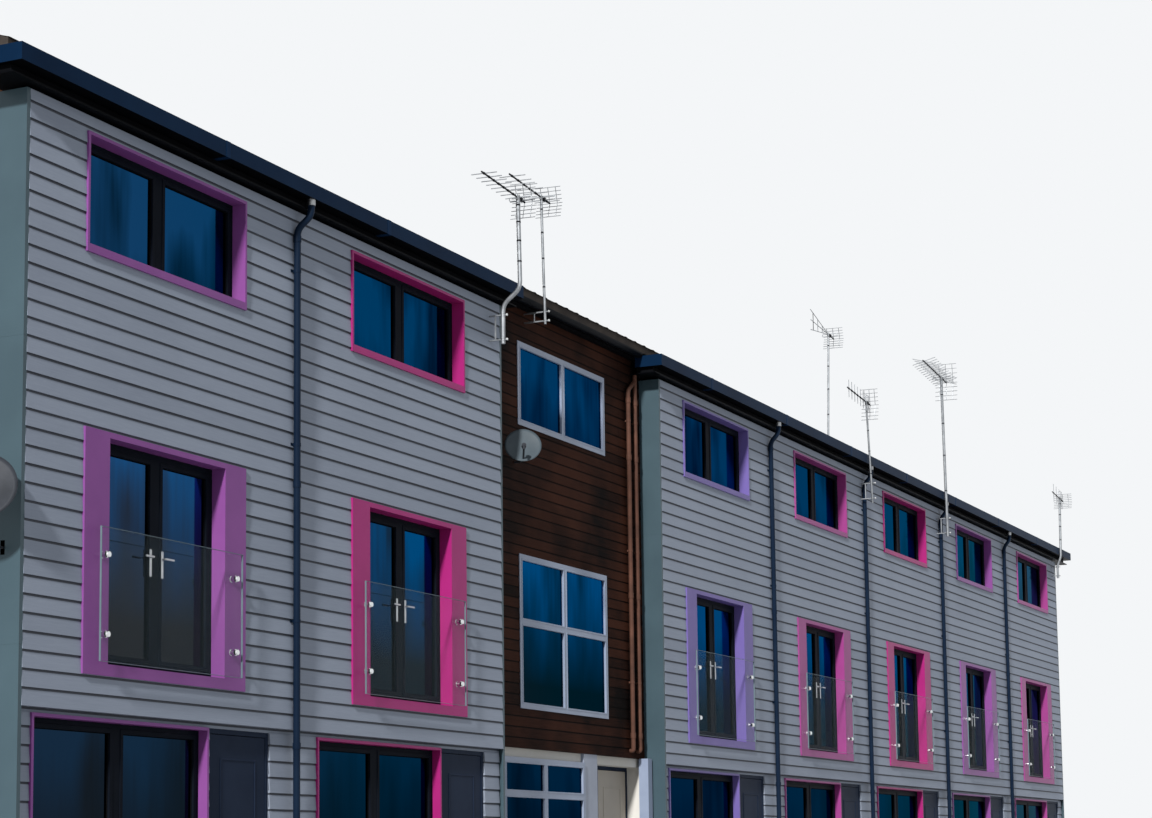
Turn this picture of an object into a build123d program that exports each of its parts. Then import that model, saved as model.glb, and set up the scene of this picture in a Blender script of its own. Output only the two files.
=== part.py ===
from build123d import *
from math import cos, radians, tan
import os

# A three-storey row of eight narrow houses. Bay 3 keeps its old brown boards; the bays on
# either side are over-clad in grey boards, which stand forward of it. Working axes: X runs
# along the row from the first party line, Y goes back from the face of the grey boards, and
# Z goes up from the ground. All sizes are in millimetres.

# Row: two over-clad groups of bays, and the brown bay between them
BAY = 4400
BAYS = 8
BROWN_BAY = 3
LEFT_END = 240
LEFT_GROUP_OVER = 30
RIGHT_GROUP_IN = 240
RIGHT_IN = 60
LEFT_GROUP_END = (BROWN_BAY - 1) * BAY + LEFT_GROUP_OVER
RIGHT_GROUP_START = BROWN_BAY * BAY + RIGHT_GROUP_IN
RIGHT_END = BAYS * BAY - RIGHT_IN
GROUPS = ((LEFT_END, LEFT_GROUP_END), (RIGHT_GROUP_START, RIGHT_END))

# Depth, from the front grey face to the rear grey face
DEPTH = 8240
GROUND_BOARD_SETBACK = 50
BROWN_SETBACK = 280
BROWN_BOARDS = 40
WALL = 250
END_WALL = 160
OVERCLAD = BROWN_SETBACK + BROWN_BOARDS
WALL_IN = OVERCLAD + WALL

# Levels
SLAB_TOP = 150
SILL_HIGH = 750
HEAD_HIGH = 2390
CLAD_LIP = 45
HEAD_TO_FLOOR = 330
STOREY = 2630
FLOOR_TO_SILL = 950
SECOND_WINDOW_TALL = 1040
HEAD_TO_BOARD_TOP = 140
FIRST_DOOR_STEP = 20
FIRST_DOOR_TALL = 2065
FLOOR_THICK = 220
CEILING_THICK = 120
GROUND_SILL = SLAB_TOP + SILL_HIGH
GROUND_HEAD = SLAB_TOP + HEAD_HIGH
CLAD_BOTTOM = GROUND_HEAD + CLAD_LIP
FIRST_FLOOR = GROUND_HEAD + HEAD_TO_FLOOR
FIRST_DOOR_BOTTOM = FIRST_FLOOR + FIRST_DOOR_STEP
FIRST_DOOR_TOP = FIRST_DOOR_BOTTOM + FIRST_DOOR_TALL
SECOND_FLOOR = FIRST_FLOOR + STOREY
SECOND_SILL = SECOND_FLOOR + FLOOR_TO_SILL
SECOND_HEAD = SECOND_SILL + SECOND_WINDOW_TALL
BOARD_TOP = SECOND_HEAD + HEAD_TO_BOARD_TOP

# Coloured window surrounds, set a little to the right of each bay's middle
SURROUND_SHIFT = 75
SURROUND_WIDE = 2450
SURROUND_PROUD = 35
SURROUND_EDGE = 28
SURROUND_SILL = 70
SILL_FALL = 15
LINER = 12
DOOR_BAND_SIDE = 345
DOOR_BAND_TOP = 50
DOOR_BAND_BOTTOM = 100
SURROUND_X = BAY / 2 + SURROUND_SHIFT - SURROUND_WIDE / 2

# Front doors, at the right-hand end of each bay
DOOR_TO_PARTY = 370
DOOR_WIDE = 1010
BROWN_DOOR_WIDE = 960
JAMB = 45
JAMB_SETBACK = 5
DOOR_GAP = 7
LEAF_THICK = 44
LEAF_SETBACK = 10
LEAF_FLOOR_GAP = 10
KNUCKLE_R = 7
KNUCKLE_TALL = 45
KNUCKLE_GAP = 0.3
HINGE_PLATE = 3
HINGE_PLATE_WIDE = 34
HINGE_UP = 250
HINGE_DOWN = 490
HANDLE_UP = 900
HANDLE_INSET = 60
LEVER_LONG = 120
LEVER_THICK = 20
LEVER_NEAR = 32
LEVER_FAR = 50
DOOR_X = BAY - DOOR_TO_PARTY - DOOR_WIDE
HINGE_HEIGHTS = (SLAB_TOP + HINGE_UP, GROUND_HEAD - HINGE_DOWN)
HANDLE_HEIGHT = SLAB_TOP + HANDLE_UP

# Ground-floor windows, between the party line and the front door
GROUND_WINDOW_X = 460
WINDOW_TO_DOOR = 30
GROUND_WINDOW_WIDE = DOOR_X - WINDOW_TO_DOOR - GROUND_WINDOW_X

# Window frames
FRAME_FACE = 110
FRAME_DEEP = 70
FRAME_WIDE = 75
MULLION = 120
GLASS = 24
BROWN_FRAME_WIDE = 55
BROWN_MULLION = 60
BROWN_FRAME_PROUD = 20
TRANSOM_DROP = 420
BROWN_LOWER_SHARE = 0.56

# Brown bay
BROWN_OVER_HEAD = 110
BROWN_WINDOW_SHIFT = 55
BROWN_WINDOW_WIDE = 2490
BROWN_FLOOR_TO_SILL = 240
BROWN_HEAD_DROP = 35
PORCH_TO_GROUP = 65
PORCH_PANEL_WIDE = 440
PORCH_DEEP = 220
PORCH_POST = 130
PORCH_POST_GAP = 40
BROWN_GROUND_INSET = 520
BROWN_GROUND_TO_PORCH = 400
BROWN_BOTTOM = GROUND_HEAD + BROWN_OVER_HEAD
BROWN_FIRST_SILL = FIRST_FLOOR + BROWN_FLOOR_TO_SILL
BROWN_WINDOW_HEAD = SECOND_HEAD - BROWN_HEAD_DROP
PORCH_END = RIGHT_GROUP_START - PORCH_TO_GROUP
PORCH_PANEL_END = PORCH_END - BROWN_DOOR_WIDE
PORCH_X = PORCH_PANEL_END - PORCH_PANEL_WIDE
PORCH_POST_X = RIGHT_GROUP_START - PORCH_POST_GAP - PORCH_POST
BROWN_MIDDLE = (BROWN_BAY - 0.5) * BAY + BROWN_WINDOW_SHIFT

# Glass guards
GUARD_WIDE = 2150
GUARD_UP = 130
GUARD_TALL = 1130
GUARD_THICK = 17.5
STANDOFF = 50
STANDOFF_R = 25
STANDOFF_SIDES = 12
STANDOFF_INSET = 95
STANDOFF_HIGH = 230
GUARD_BOTTOM = FIRST_FLOOR + GUARD_UP

# Corner trims
TRIM = 15
TRIM_LEG = 45

# Eaves: the old fascia, and the box gutters in front of it at the grey bays
FASCIA_FACE = 190
FASCIA_THICK = 20
BOX_FRONT = -190
BOX_TALL = 148
BOX_SHEET = 15
BOX_LEFT_LAP = 300
BOX_INNER_LAP = 235
BOX_RIGHT_LAP = 720
PACKER_IN = 60
PACKER_TALL = 75
VENT_SHEET_FRONT = -100
VENT_SHEET = 15
VENT_GAP = 25
SOFFIT_UP = 105
GUTTER_R = 60
GUTTER_WALL = 5
GUTTER_UP = 75
VENT_SHEET_BOTTOM = BOARD_TOP + VENT_GAP
BOX_BOTTOM = VENT_SHEET_BOTTOM + VENT_SHEET + PACKER_TALL
BROWN_SOFFIT = BOX_BOTTOM + SOFFIT_UP
GUTTER_TOP = BROWN_SOFFIT + GUTTER_UP

# Roof
PITCH = 17.5
EAVES_LINE = 140
EAVES_UP = 205
ROOF_THICK = 90
VERGE = 60
RIDGE_R = 125
RIDGE_SIDES = 24
RIDGE_DROP = 40
EAVES_TOP = BROWN_SOFFIT + EAVES_UP

# Pipes
PIPE_R = 34
PIPE_SIDES = 12
PIPE_OFF = 55
PIPE_IN = 40
OUTLET_SHIFT = 120
OUTLET_Y = -140
STUB_TALL = 155
SWAN_TALL = 315
SHOE_HEIGHT = 200
CLIP_TALL = 30
CLIP_WIDE = 44
STACK_R = 28
STACK_OFF = 55
STACK_TO_GROUP = 240
WASTE_TO_STACK = 220
WASTE_DROP = 325
WASTE_FALL = 150
PIPE_TURN = 90
CLIP_HEIGHTS = (GROUND_SILL + 600, FIRST_FLOOR + 730, SECOND_FLOOR - 200, SECOND_SILL + 550)

# Aerials
BRACKET_PLATE = 40
BRACKET_THICK = 6
ARM = 16
ARM_OVER = 60
MAST_R = 25
SLIM_MAST_R = 16
MAST_SIDES = 12
BOOM = 16
BOOM_DROP = 30
ROD_R = 6
ROD_SIDES = 4
FOLD_BACK = 70
AIM = 5
GUTTER_MAST_Y = -50
GUTTER_MAST_TALL = 1895
FAN_REACH = 1150
FAN_SPREAD = 160
FAN_SHARES = (0.35, 0.6, 0.85)

# Satellite dishes
DISH_DEPTH = 0.12
DISH_SKIN = 5
DISH_ARM_R = 12
DISH_FACING = (-0.82, -0.45, 0.35)
FEED_R = 28
FEED_LONG = 70
DISH_SIDES = 24

ROW_MIDDLE = (LEFT_END + RIGHT_END) / 2
MIDDLE = DEPTH / 2
GREY_BAYS = [n for n in range(1, BAYS + 1) if n != BROWN_BAY]
COLOURS = {"orchid": (1, 7), "hot_pink": (2, 6), "lavender": (4,), "magenta": (5, 8)}
PIPE_BAYS = (2, 5, 6, 7, 8)


def box(x0, x1, y0, y1, z0, z1):
    centre = ((x0 + x1) / 2, (y0 + y1) / 2, (z0 + z1) / 2)
    return Pos(*centre) * Box(x1 - x0, y1 - y0, z1 - z0)


def prism(x0, x1, outline):
    """Solid of one outline, given as (y, z) points, drawn along the row."""
    face = make_face(Polyline(*outline, close=True))
    return extrude(Plane.YZ.offset(x0) * face, x1 - x0)


def rod(start, end, radius, sides=0):
    """Round bar between two points, or one with a few flat sides."""
    start, end = Vector(*start), Vector(*end)
    plane = Plane(origin=start, z_dir=end - start)
    section = RegularPolygon(radius, sides) if sides else Circle(radius)
    return extrude(plane * section, (end - start).length)


def tube_along(points, radius, sides=PIPE_SIDES):
    """Pipe with a flat side to the wall, in straight runs mitred where they meet."""
    path = Polyline(*points)
    section = RegularPolygon(radius, sides, major_radius=False)
    start = Plane(origin=path @ 0, x_dir=(1, 0, 0), z_dir=path % 0)
    return sweep(start * section, path=path, transition=Transition.RIGHT)


def rear(solid):
    """The same piece on the rear face of the row."""
    return mirror(solid, about=Plane(origin=(0, MIDDLE, 0), z_dir=(0, 1, 0)))


def front(solid):
    return solid


def write(node, solids):
    moved = [Location((-ROW_MIDDLE, -MIDDLE, 0)) * s for s in solids]
    shape = moved[0] if len(moved) == 1 else Compound(children=moved)
    export_step(shape, f"parts/{node}.step")


def roof_under(y):
    """Height of the roof's underside at a distance back from the front boards."""
    slope = radians(PITCH)
    return EAVES_TOP - ROOF_THICK / cos(slope) + (y - EAVES_LINE) * tan(slope)


def bay_start(number):
    return (number - 1) * BAY


def span(number, start, width):
    x0 = bay_start(number) + start
    return (x0, x0 + width)


LEAF_BOTTOM = SLAB_TOP + LEAF_FLOOR_GAP
LEAF_TOP = GROUND_HEAD - JAMB - DOOR_GAP
DOOR_OPENING_BOTTOM = FIRST_DOOR_BOTTOM + DOOR_BAND_BOTTOM - LINER
DOOR_OPENING_TOP = FIRST_DOOR_TOP - DOOR_BAND_TOP + LINER
DOOR_OPENING_X = SURROUND_X + DOOR_BAND_SIDE - LINER
DOOR_OPENING_WIDE = SURROUND_WIDE - 2 * (DOOR_BAND_SIDE - LINER)
REAR_FIRST_SILL = SECOND_SILL - (SECOND_FLOOR - FIRST_FLOOR)
REAR_FIRST_HEAD = SECOND_HEAD - (SECOND_FLOOR - FIRST_FLOOR)
BROWN_WINDOW = (BROWN_MIDDLE - BROWN_WINDOW_WIDE / 2, BROWN_MIDDLE + BROWN_WINDOW_WIDE / 2)
BROWN_GROUND = (LEFT_GROUP_END + BROWN_GROUND_INSET, PORCH_X - BROWN_GROUND_TO_PORCH)
UPPER = {n: span(n, SURROUND_X, SURROUND_WIDE) for n in GREY_BAYS}
FRENCH = {n: span(n, DOOR_OPENING_X, DOOR_OPENING_WIDE) for n in GREY_BAYS}
GROUND = {n: span(n, GROUND_WINDOW_X, GROUND_WINDOW_WIDE) for n in GREY_BAYS}
DOORS = {n: span(n, DOOR_X, DOOR_WIDE) for n in GREY_BAYS}

# Openings of each storey as (bottom, top, spans); the rear repeats plain windows
FRONT = (
    (SLAB_TOP, GROUND_HEAD,
     [*GROUND.values(), *DOORS.values(), BROWN_GROUND, (PORCH_X, PORCH_END)]),
    (DOOR_OPENING_BOTTOM, DOOR_OPENING_TOP, [*FRENCH.values(), BROWN_WINDOW]),
    (SECOND_SILL, SECOND_HEAD, [*UPPER.values(), BROWN_WINDOW]),
)
REAR = (
    (SLAB_TOP, GROUND_HEAD, [*UPPER.values(), BROWN_WINDOW]),
    (REAR_FIRST_SILL, REAR_FIRST_HEAD, [*UPPER.values(), BROWN_WINDOW]),
    (SECOND_SILL, SECOND_HEAD, [*UPPER.values(), BROWN_WINDOW]),
)


def piers(storey, x0, x1, y0, y1):
    """Upright strips of a wall that are left between the openings of one storey."""
    bottom, top, spans = storey
    inside = sorted(s for s in spans if s[0] > x0 and s[1] < x1)
    edges = [x0, *[x for s in inside for x in s], x1]
    return [box(a, b, y0, y1, bottom, top) for a, b in zip(edges[::2], edges[1::2])]


# Floors and foundations
def floors():
    inner = (LEFT_END + END_WALL, RIGHT_END - BROWN_BOARDS - END_WALL, WALL_IN,
             DEPTH - WALL_IN)
    write("ground_slab", [box(LEFT_END, RIGHT_END, BROWN_SETBACK, DEPTH - BROWN_SETBACK,
                              0, SLAB_TOP)])
    strips = []
    for x0, x1 in GROUPS:
        strip = box(x0, x1, GROUND_BOARD_SETBACK, BROWN_SETBACK, 0, SLAB_TOP)
        strips += [strip, rear(strip)]
    write("plinth_strips", strips)
    write("first_floor", [box(*inner, FIRST_FLOOR - FLOOR_THICK, FIRST_FLOOR)])
    write("second_floor", [box(*inner, SECOND_FLOOR - FLOOR_THICK, SECOND_FLOOR)])
    write("top_ceiling", [box(*inner, BOARD_TOP, BOARD_TOP + CEILING_THICK)])


# Masonry walls
def masonry():
    x0, x1 = LEFT_END + END_WALL, RIGHT_END - BROWN_BOARDS - END_WALL
    uprights, bands, sills = [], [], []
    for storeys, place in ((FRONT, front), (REAR, rear)):
        for storey in storeys:
            uprights += [place(p) for p in piers(storey, x0, x1, OVERCLAD, WALL_IN)]
        for below, above in zip(storeys, storeys[1:]):
            bands.append(place(box(x0, x1, OVERCLAD, WALL_IN, below[1], above[0])))
        top = [(OVERCLAD, SECOND_HEAD), (WALL_IN, SECOND_HEAD),
               (WALL_IN, roof_under(WALL_IN)), (OVERCLAD, roof_under(OVERCLAD))]
        bands.append(place(prism(x0, x1, top)))
    for a, b in [*GROUND.values(), BROWN_GROUND]:
        sills.append(box(a, b, OVERCLAD, WALL_IN, SLAB_TOP, GROUND_SILL))
    for a, b in [*UPPER.values(), BROWN_WINDOW]:
        sills.append(rear(box(a, b, OVERCLAD, WALL_IN, SLAB_TOP, GROUND_SILL)))
    sills.append(box(*BROWN_WINDOW, OVERCLAD, WALL_IN, DOOR_OPENING_BOTTOM, BROWN_FIRST_SILL))
    write("masonry_piers", uprights)
    write("masonry_bands", bands)
    write("masonry_sills", sills)


# End walls, with the gable up to the roof's underside
def gable(x0, x1, y0):
    outline = [(y0, SLAB_TOP), (DEPTH - y0, SLAB_TOP), (DEPTH - y0, roof_under(y0)),
               (MIDDLE, roof_under(MIDDLE)), (y0, roof_under(y0))]
    return prism(x0, x1, outline)


def end_walls():
    write("left_party_wall", [gable(LEFT_END, LEFT_END + END_WALL, OVERCLAD)])
    inner = RIGHT_END - BROWN_BOARDS
    write("right_end_wall", [gable(inner - END_WALL, inner, OVERCLAD)])
    write("right_end_cladding", [gable(inner, RIGHT_END, OVERCLAD)])


# Grey over-cladding, split beside and over the openings. Its first-floor band overhangs the
# ground-floor boards and drops behind them to the heads of the windows and doors.
def grey_cladding():
    uprights, bands, low_uprights, low_sills = [], [], [], []
    for storeys, place in ((FRONT, front), (REAR, rear)):
        ground, first, second = storeys
        for start, end in GROUPS:
            x0, x1 = start + TRIM, end - TRIM
            for storey in (first, second):
                uprights += [place(p) for p in piers(storey, x0, x1, 0, OVERCLAD)]
            overhang = [(0, CLAD_BOTTOM), (GROUND_BOARD_SETBACK, CLAD_BOTTOM),
                        (GROUND_BOARD_SETBACK, GROUND_HEAD), (OVERCLAD, GROUND_HEAD),
                        (OVERCLAD, first[0]), (0, first[0])]
            bands.append(place(prism(x0, x1, overhang)))
            bands.append(place(box(x0, x1, 0, OVERCLAD, first[1], second[0])))
            bands.append(place(box(x0, x1, 0, OVERCLAD, SECOND_HEAD, BOARD_TOP)))
            low = piers(ground, x0, x1, GROUND_BOARD_SETBACK, OVERCLAD)
            low_uprights += [place(p) for p in low]
    for n in GREY_BAYS:
        sill = (GROUND_BOARD_SETBACK, OVERCLAD, SLAB_TOP, GROUND_SILL)
        low_sills += [box(*GROUND[n], *sill), rear(box(*UPPER[n], *sill))]
    write("grey_cladding_piers", uprights)
    write("grey_cladding_bands", bands)
    write("ground_cladding_piers", low_uprights)
    write("ground_cladding_sills", low_sills)


# Pressed corner trims that close the ends of the grey cladding
def corner_trims():
    posts = []
    for start, end in GROUPS:
        for x, way in ((start, 1), (end, -1)):
            x0, x1 = sorted((x, x + way * TRIM))
            cover = box(x0, x1, -TRIM, OVERCLAD, SLAB_TOP, BOARD_TOP)
            l0, l1 = sorted((x, x + way * TRIM_LEG))
            leg = box(l0, l1, -TRIM, 0, SLAB_TOP, BOARD_TOP)
            post = cover + leg
            posts += [post, rear(post)]
    write("corner_trims", posts)


# Brown boards of the bay that was not over-clad
def brown_cladding():
    x0, x1 = LEFT_GROUP_END, RIGHT_GROUP_START
    sheet = box(x0, x1, BROWN_SETBACK, OVERCLAD, BROWN_BOTTOM, BROWN_SOFFIT)
    cuts = (BROWN_SETBACK - 1, OVERCLAD + 1)
    face = sheet - box(*BROWN_WINDOW, *cuts, SECOND_SILL, BROWN_WINDOW_HEAD)
    face -= box(*BROWN_WINDOW, *cuts, BROWN_FIRST_SILL, DOOR_OPENING_TOP)
    back = sheet - box(*BROWN_WINDOW, *cuts, SECOND_SILL, BROWN_WINDOW_HEAD)
    back -= box(*BROWN_WINDOW, *cuts, REAR_FIRST_SILL, REAR_FIRST_HEAD)
    write("brown_cladding", [face, rear(back)])
    low = (BROWN_SETBACK, OVERCLAD, SLAB_TOP)
    panels = [box(x0, BROWN_GROUND[0], *low, BROWN_BOTTOM),
              box(BROWN_GROUND[1], PORCH_X, *low, BROWN_BOTTOM),
              box(PORCH_END, x1, *low, BROWN_BOTTOM),
              rear(box(x0, BROWN_WINDOW[0], *low, BROWN_BOTTOM)),
              rear(box(BROWN_WINDOW[1], x1, *low, BROWN_BOTTOM))]
    write("brown_bay_ground_panels", panels)


# Surrounds. A window's is a thin-edged tray with a sloping sill; a door's is a broad flat
# band on the boards with a liner back to the frame.
def tray(x_span, z0, z1, face=-SURROUND_PROUD):
    x0, x1 = x_span
    outer = box(x0, x1, face, FRAME_FACE, z0, z1)
    sill = z0 + SURROUND_SILL
    hole = [(face - 1, sill), (FRAME_FACE + 1, sill + SILL_FALL),
            (FRAME_FACE + 1, z1 - SURROUND_EDGE), (face - 1, z1 - SURROUND_EDGE)]
    return outer - prism(x0 + SURROUND_EDGE, x1 - SURROUND_EDGE, hole)


def door_surround(number):
    x0, x1 = UPPER[number]
    a, b = FRENCH[number]
    band = box(x0, x1, -SURROUND_PROUD, 0, FIRST_DOOR_BOTTOM, FIRST_DOOR_TOP)
    liner = box(a, b, 0, FRAME_FACE, DOOR_OPENING_BOTTOM, DOOR_OPENING_TOP)
    hole = box(a + LINER, b - LINER, -SURROUND_PROUD - 1, FRAME_FACE + 1,
               DOOR_OPENING_BOTTOM + LINER, DOOR_OPENING_TOP - LINER)
    return band + liner - hole


def surrounds():
    low_face = GROUND_BOARD_SETBACK - SURROUND_PROUD
    for name, bays in COLOURS.items():
        pieces = []
        for n in bays:
            pieces += [door_surround(n), tray(UPPER[n], SECOND_SILL, SECOND_HEAD),
                       tray(GROUND[n], GROUND_SILL, GROUND_HEAD, low_face),
                       rear(tray(UPPER[n], SECOND_SILL, SECOND_HEAD)),
                       rear(tray(UPPER[n], REAR_FIRST_SILL, REAR_FIRST_HEAD)),
                       rear(tray(UPPER[n], GROUND_SILL, GROUND_HEAD, low_face))]
        write(f"surrounds_{name}", pieces)


# Window frames, and the panes that stand in their lights
def lights(x_span, z0, z1, columns, splits=(), wide=FRAME_WIDE, mullion=MULLION):
    """Rectangles of glass as (x0, x1, z0, z1) inside a frame."""
    x0, x1 = x_span
    pitch = (x1 - x0 - 2 * wide + mullion) / columns
    levels = [z0 + wide, *[z for s in splits for z in (s - wide / 2, s + wide / 2)], z1 - wide]
    found = []
    for c in range(columns):
        a = x0 + wide + c * pitch
        for b, t in zip(levels[::2], levels[1::2]):
            found.append((a, a + pitch - mullion, b, t))
    return found


def window(x_span, z0, z1, rects, y0):
    frame = box(*x_span, y0, y0 + FRAME_DEEP, z0, z1)
    for a, b, c, d in rects:
        frame -= box(a, b, y0 - 1, y0 + FRAME_DEEP + 1, c, d)
    middle = y0 + FRAME_DEEP / 2
    panes = [box(a, b, middle - GLASS / 2, middle + GLASS / 2, c, d) for a, b, c, d in rects]
    return frame, panes


def windows():
    frames = {"window_frames_second": [], "window_frames_first_rear": [],
              "french_doors": [], "window_frames_ground": [], "brown_bay_windows": []}
    glass = {"glazing_ground": [], "glazing_first": [], "glazing_second": []}

    def add(node, storey, x_span, z0, z1, rects, y0=FRAME_FACE, place=front):
        frame, panes = window(x_span, z0, z1, rects, y0)
        frames[node].append(place(frame))
        glass[storey] += [place(p) for p in panes]

    for n in GREY_BAYS:
        up = UPPER[n]
        second = lights(up, SECOND_SILL, SECOND_HEAD, 2)
        add("window_frames_second", "glazing_second", up, SECOND_SILL, SECOND_HEAD, second)
        add("window_frames_second", "glazing_second", up, SECOND_SILL, SECOND_HEAD, second,
            place=rear)
        first = lights(up, REAR_FIRST_SILL, REAR_FIRST_HEAD, 2)
        add("window_frames_first_rear", "glazing_first", up, REAR_FIRST_SILL,
            REAR_FIRST_HEAD, first, place=rear)
        doors = lights(FRENCH[n], DOOR_OPENING_BOTTOM, DOOR_OPENING_TOP, 2)
        add("french_doors", "glazing_first", FRENCH[n], DOOR_OPENING_BOTTOM,
            DOOR_OPENING_TOP, doors)
        low = lights(GROUND[n], GROUND_SILL, GROUND_HEAD, 2)
        add("window_frames_ground", "glazing_ground", GROUND[n], GROUND_SILL, GROUND_HEAD,
            low)
        low = lights(up, GROUND_SILL, GROUND_HEAD, 2)
        add("window_frames_ground", "glazing_ground", up, GROUND_SILL, GROUND_HEAD, low,
            place=rear)

    y0 = BROWN_SETBACK - BROWN_FRAME_PROUD
    slim = {"wide": BROWN_FRAME_WIDE, "mullion": BROWN_MULLION}
    lower = (DOOR_OPENING_TOP - BROWN_FIRST_SILL) * BROWN_LOWER_SHARE
    first_split = BROWN_FIRST_SILL + lower
    ground_split = GROUND_HEAD - TRANSOM_DROP
    for storey, x_span, z0, z1, splits, place in (
            ("glazing_second", BROWN_WINDOW, SECOND_SILL, BROWN_WINDOW_HEAD, (), front),
            ("glazing_first", BROWN_WINDOW, BROWN_FIRST_SILL, DOOR_OPENING_TOP,
             (first_split,), front),
            ("glazing_ground", BROWN_GROUND, GROUND_SILL, GROUND_HEAD, (ground_split,), front),
            ("glazing_second", BROWN_WINDOW, SECOND_SILL, BROWN_WINDOW_HEAD, (), rear),
            ("glazing_first", BROWN_WINDOW, REAR_FIRST_SILL, REAR_FIRST_HEAD, (), rear),
            ("glazing_ground", BROWN_WINDOW, GROUND_SILL, GROUND_HEAD, (ground_split,), rear)):
        rects = lights(x_span, z0, z1, 2, splits, **slim)
        add("brown_bay_windows", storey, x_span, z0, z1, rects, y0, place)
    for node, solids in (frames | glass).items():
        write(node, solids)


# Glass guards in front of the upper doors, on round stand-off fixings
def balustrades():
    panels, fixings = [], []
    face = -SURROUND_PROUD - STANDOFF - GUARD_THICK
    for n in GREY_BAYS:
        middle = sum(UPPER[n]) / 2
        x0, x1 = middle - GUARD_WIDE / 2, middle + GUARD_WIDE / 2
        z0, z1 = GUARD_BOTTOM, GUARD_BOTTOM + GUARD_TALL
        panels.append(box(x0, x1, face, face + GUARD_THICK, z0, z1))
        for x in (x0 + STANDOFF_INSET, x1 - STANDOFF_INSET):
            for z in (z0 + STANDOFF_HIGH, z1 - STANDOFF_HIGH):
                fixings.append(rod((x, -SURROUND_PROUD, z), (x, face + GUARD_THICK, z),
                                   STANDOFF_R, STANDOFF_SIDES))
    write("balustrade_glass", panels)
    write("balustrade_fixings", fixings)


# Front doors. Each leaf opens inwards on two lift-off hinges at its right-hand edge: the
# leaf's knuckle sits on the jamb's, and the leaf lifts away when it is open.
def door_places():
    places = {n: (*DOORS[n], GROUND_BOARD_SETBACK) for n in GREY_BAYS}
    places[BROWN_BAY] = (PORCH_PANEL_END, PORCH_END, BROWN_SETBACK + PORCH_DEEP - LEAF_SETBACK)
    return places


def knuckle(x, y, z0, z1, way):
    """Barrel of a hinge with the plate that screws on to one side of it."""
    barrel = rod((x, y, z0), (x, y, z1), KNUCKLE_R)
    a, b = sorted((x, x + way * HINGE_PLATE_WIDE))
    return barrel + box(a, b, y - KNUCKLE_R, y - KNUCKLE_R + HINGE_PLATE, z0, z1)


def handle(x, y, way):
    """Lever handle on one face of a door leaf."""
    half = LEVER_THICK / 2
    z0, z1 = HANDLE_HEIGHT - half, HANDLE_HEIGHT + half
    n0, n1 = sorted((y, y + way * LEVER_NEAR))
    y0, y1 = sorted((y + way * LEVER_NEAR, y + way * LEVER_FAR))
    return box(x - half, x + half, n0, n1, z0, z1) + box(x - half, x + LEVER_LONG, y0, y1, z0, z1)


def doors():
    jambs, heads, hinges = [], [], []
    for n, (x0, x1, face) in sorted(door_places().items()):
        fore, back = face + LEAF_SETBACK, face + LEAF_SETBACK + LEAF_THICK
        edge = face + JAMB_SETBACK
        jambs += [box(x0, x0 + JAMB, edge, back, SLAB_TOP, GROUND_HEAD - JAMB),
                  box(x1 - JAMB, x1, edge, back, SLAB_TOP, GROUND_HEAD - JAMB)]
        heads.append(box(x0, x1, edge, back, GROUND_HEAD - JAMB, GROUND_HEAD))
        a, b = x0 + JAMB + DOOR_GAP, x1 - JAMB - DOOR_GAP
        hx, hy = b + DOOR_GAP / 2, back + KNUCKLE_R
        leaf = box(a, b, fore, back, LEAF_BOTTOM, LEAF_TOP)
        for z in HINGE_HEIGHTS:
            leaf += knuckle(hx, hy, z, z + KNUCKLE_TALL, -1)
            hinges.append(knuckle(hx, hy, z - KNUCKLE_GAP - KNUCKLE_TALL, z - KNUCKLE_GAP, 1))
        leaf += handle(a + HANDLE_INSET, fore, -1) + handle(a + HANDLE_INSET, back, 1)
        write(f"front_door_{n}", [leaf])
    write("door_jambs", jambs)
    write("door_heads", heads)
    write("door_hinges", hinges)


# Porch of the brown bay: a fixed panel beside its door, and a boxed post
def porch():
    y0 = BROWN_SETBACK + PORCH_DEEP
    panel = box(PORCH_X, PORCH_PANEL_END, y0, y0 + LEAF_THICK, SLAB_TOP, GROUND_HEAD)
    write("porch_panel", [panel])
    post = box(PORCH_POST_X, PORCH_POST_X + PORCH_POST, BROWN_SETBACK - PORCH_POST,
               BROWN_SETBACK, 0, BROWN_BOTTOM)
    write("porch_post", [post])


# Roof slopes and ridge. The right-hand verge runs out over the end wall.
def slope():
    thick = ROOF_THICK / cos(radians(PITCH))
    outline = [(EAVES_LINE, roof_under(EAVES_LINE)), (MIDDLE, roof_under(MIDDLE)),
               (MIDDLE, roof_under(MIDDLE) + thick), (EAVES_LINE, roof_under(EAVES_LINE) + thick)]
    return prism(LEFT_END - VERGE, RIGHT_END + BOX_RIGHT_LAP, outline)


def roof():
    near = slope()
    write("roof_front", [near])
    write("roof_rear", [rear(near)])
    peak = roof_under(MIDDLE) + ROOF_THICK / cos(radians(PITCH))
    x0, x1 = LEFT_END - VERGE, RIGHT_END + BOX_RIGHT_LAP
    low = peak - RIDGE_DROP
    cap = rod((x0, MIDDLE, low), (x1, MIDDLE, low), RIDGE_R, RIDGE_SIDES)
    cap -= near + rear(near) + box(x0, x1, 0, DEPTH, BOARD_TOP, peak - ROOF_THICK)
    write("ridge_tiles", [cap])


# Eaves. The grey bays have box gutters that lap past each end of a group, carried by
# packers on a vent sheet; the brown bay keeps its soffit and half-round gutter.
def eaves_box(x0, x1):
    top = BOX_BOTTOM + BOX_TALL
    body = box(x0, x1, BOX_FRONT, FASCIA_FACE, BOX_BOTTOM, top)
    trough = box(x0 + BOX_SHEET, x1 - BOX_SHEET, BOX_FRONT + BOX_SHEET,
                 FASCIA_FACE - BOX_SHEET, BOX_BOTTOM + BOX_SHEET, top + 1)
    return body - trough


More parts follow.
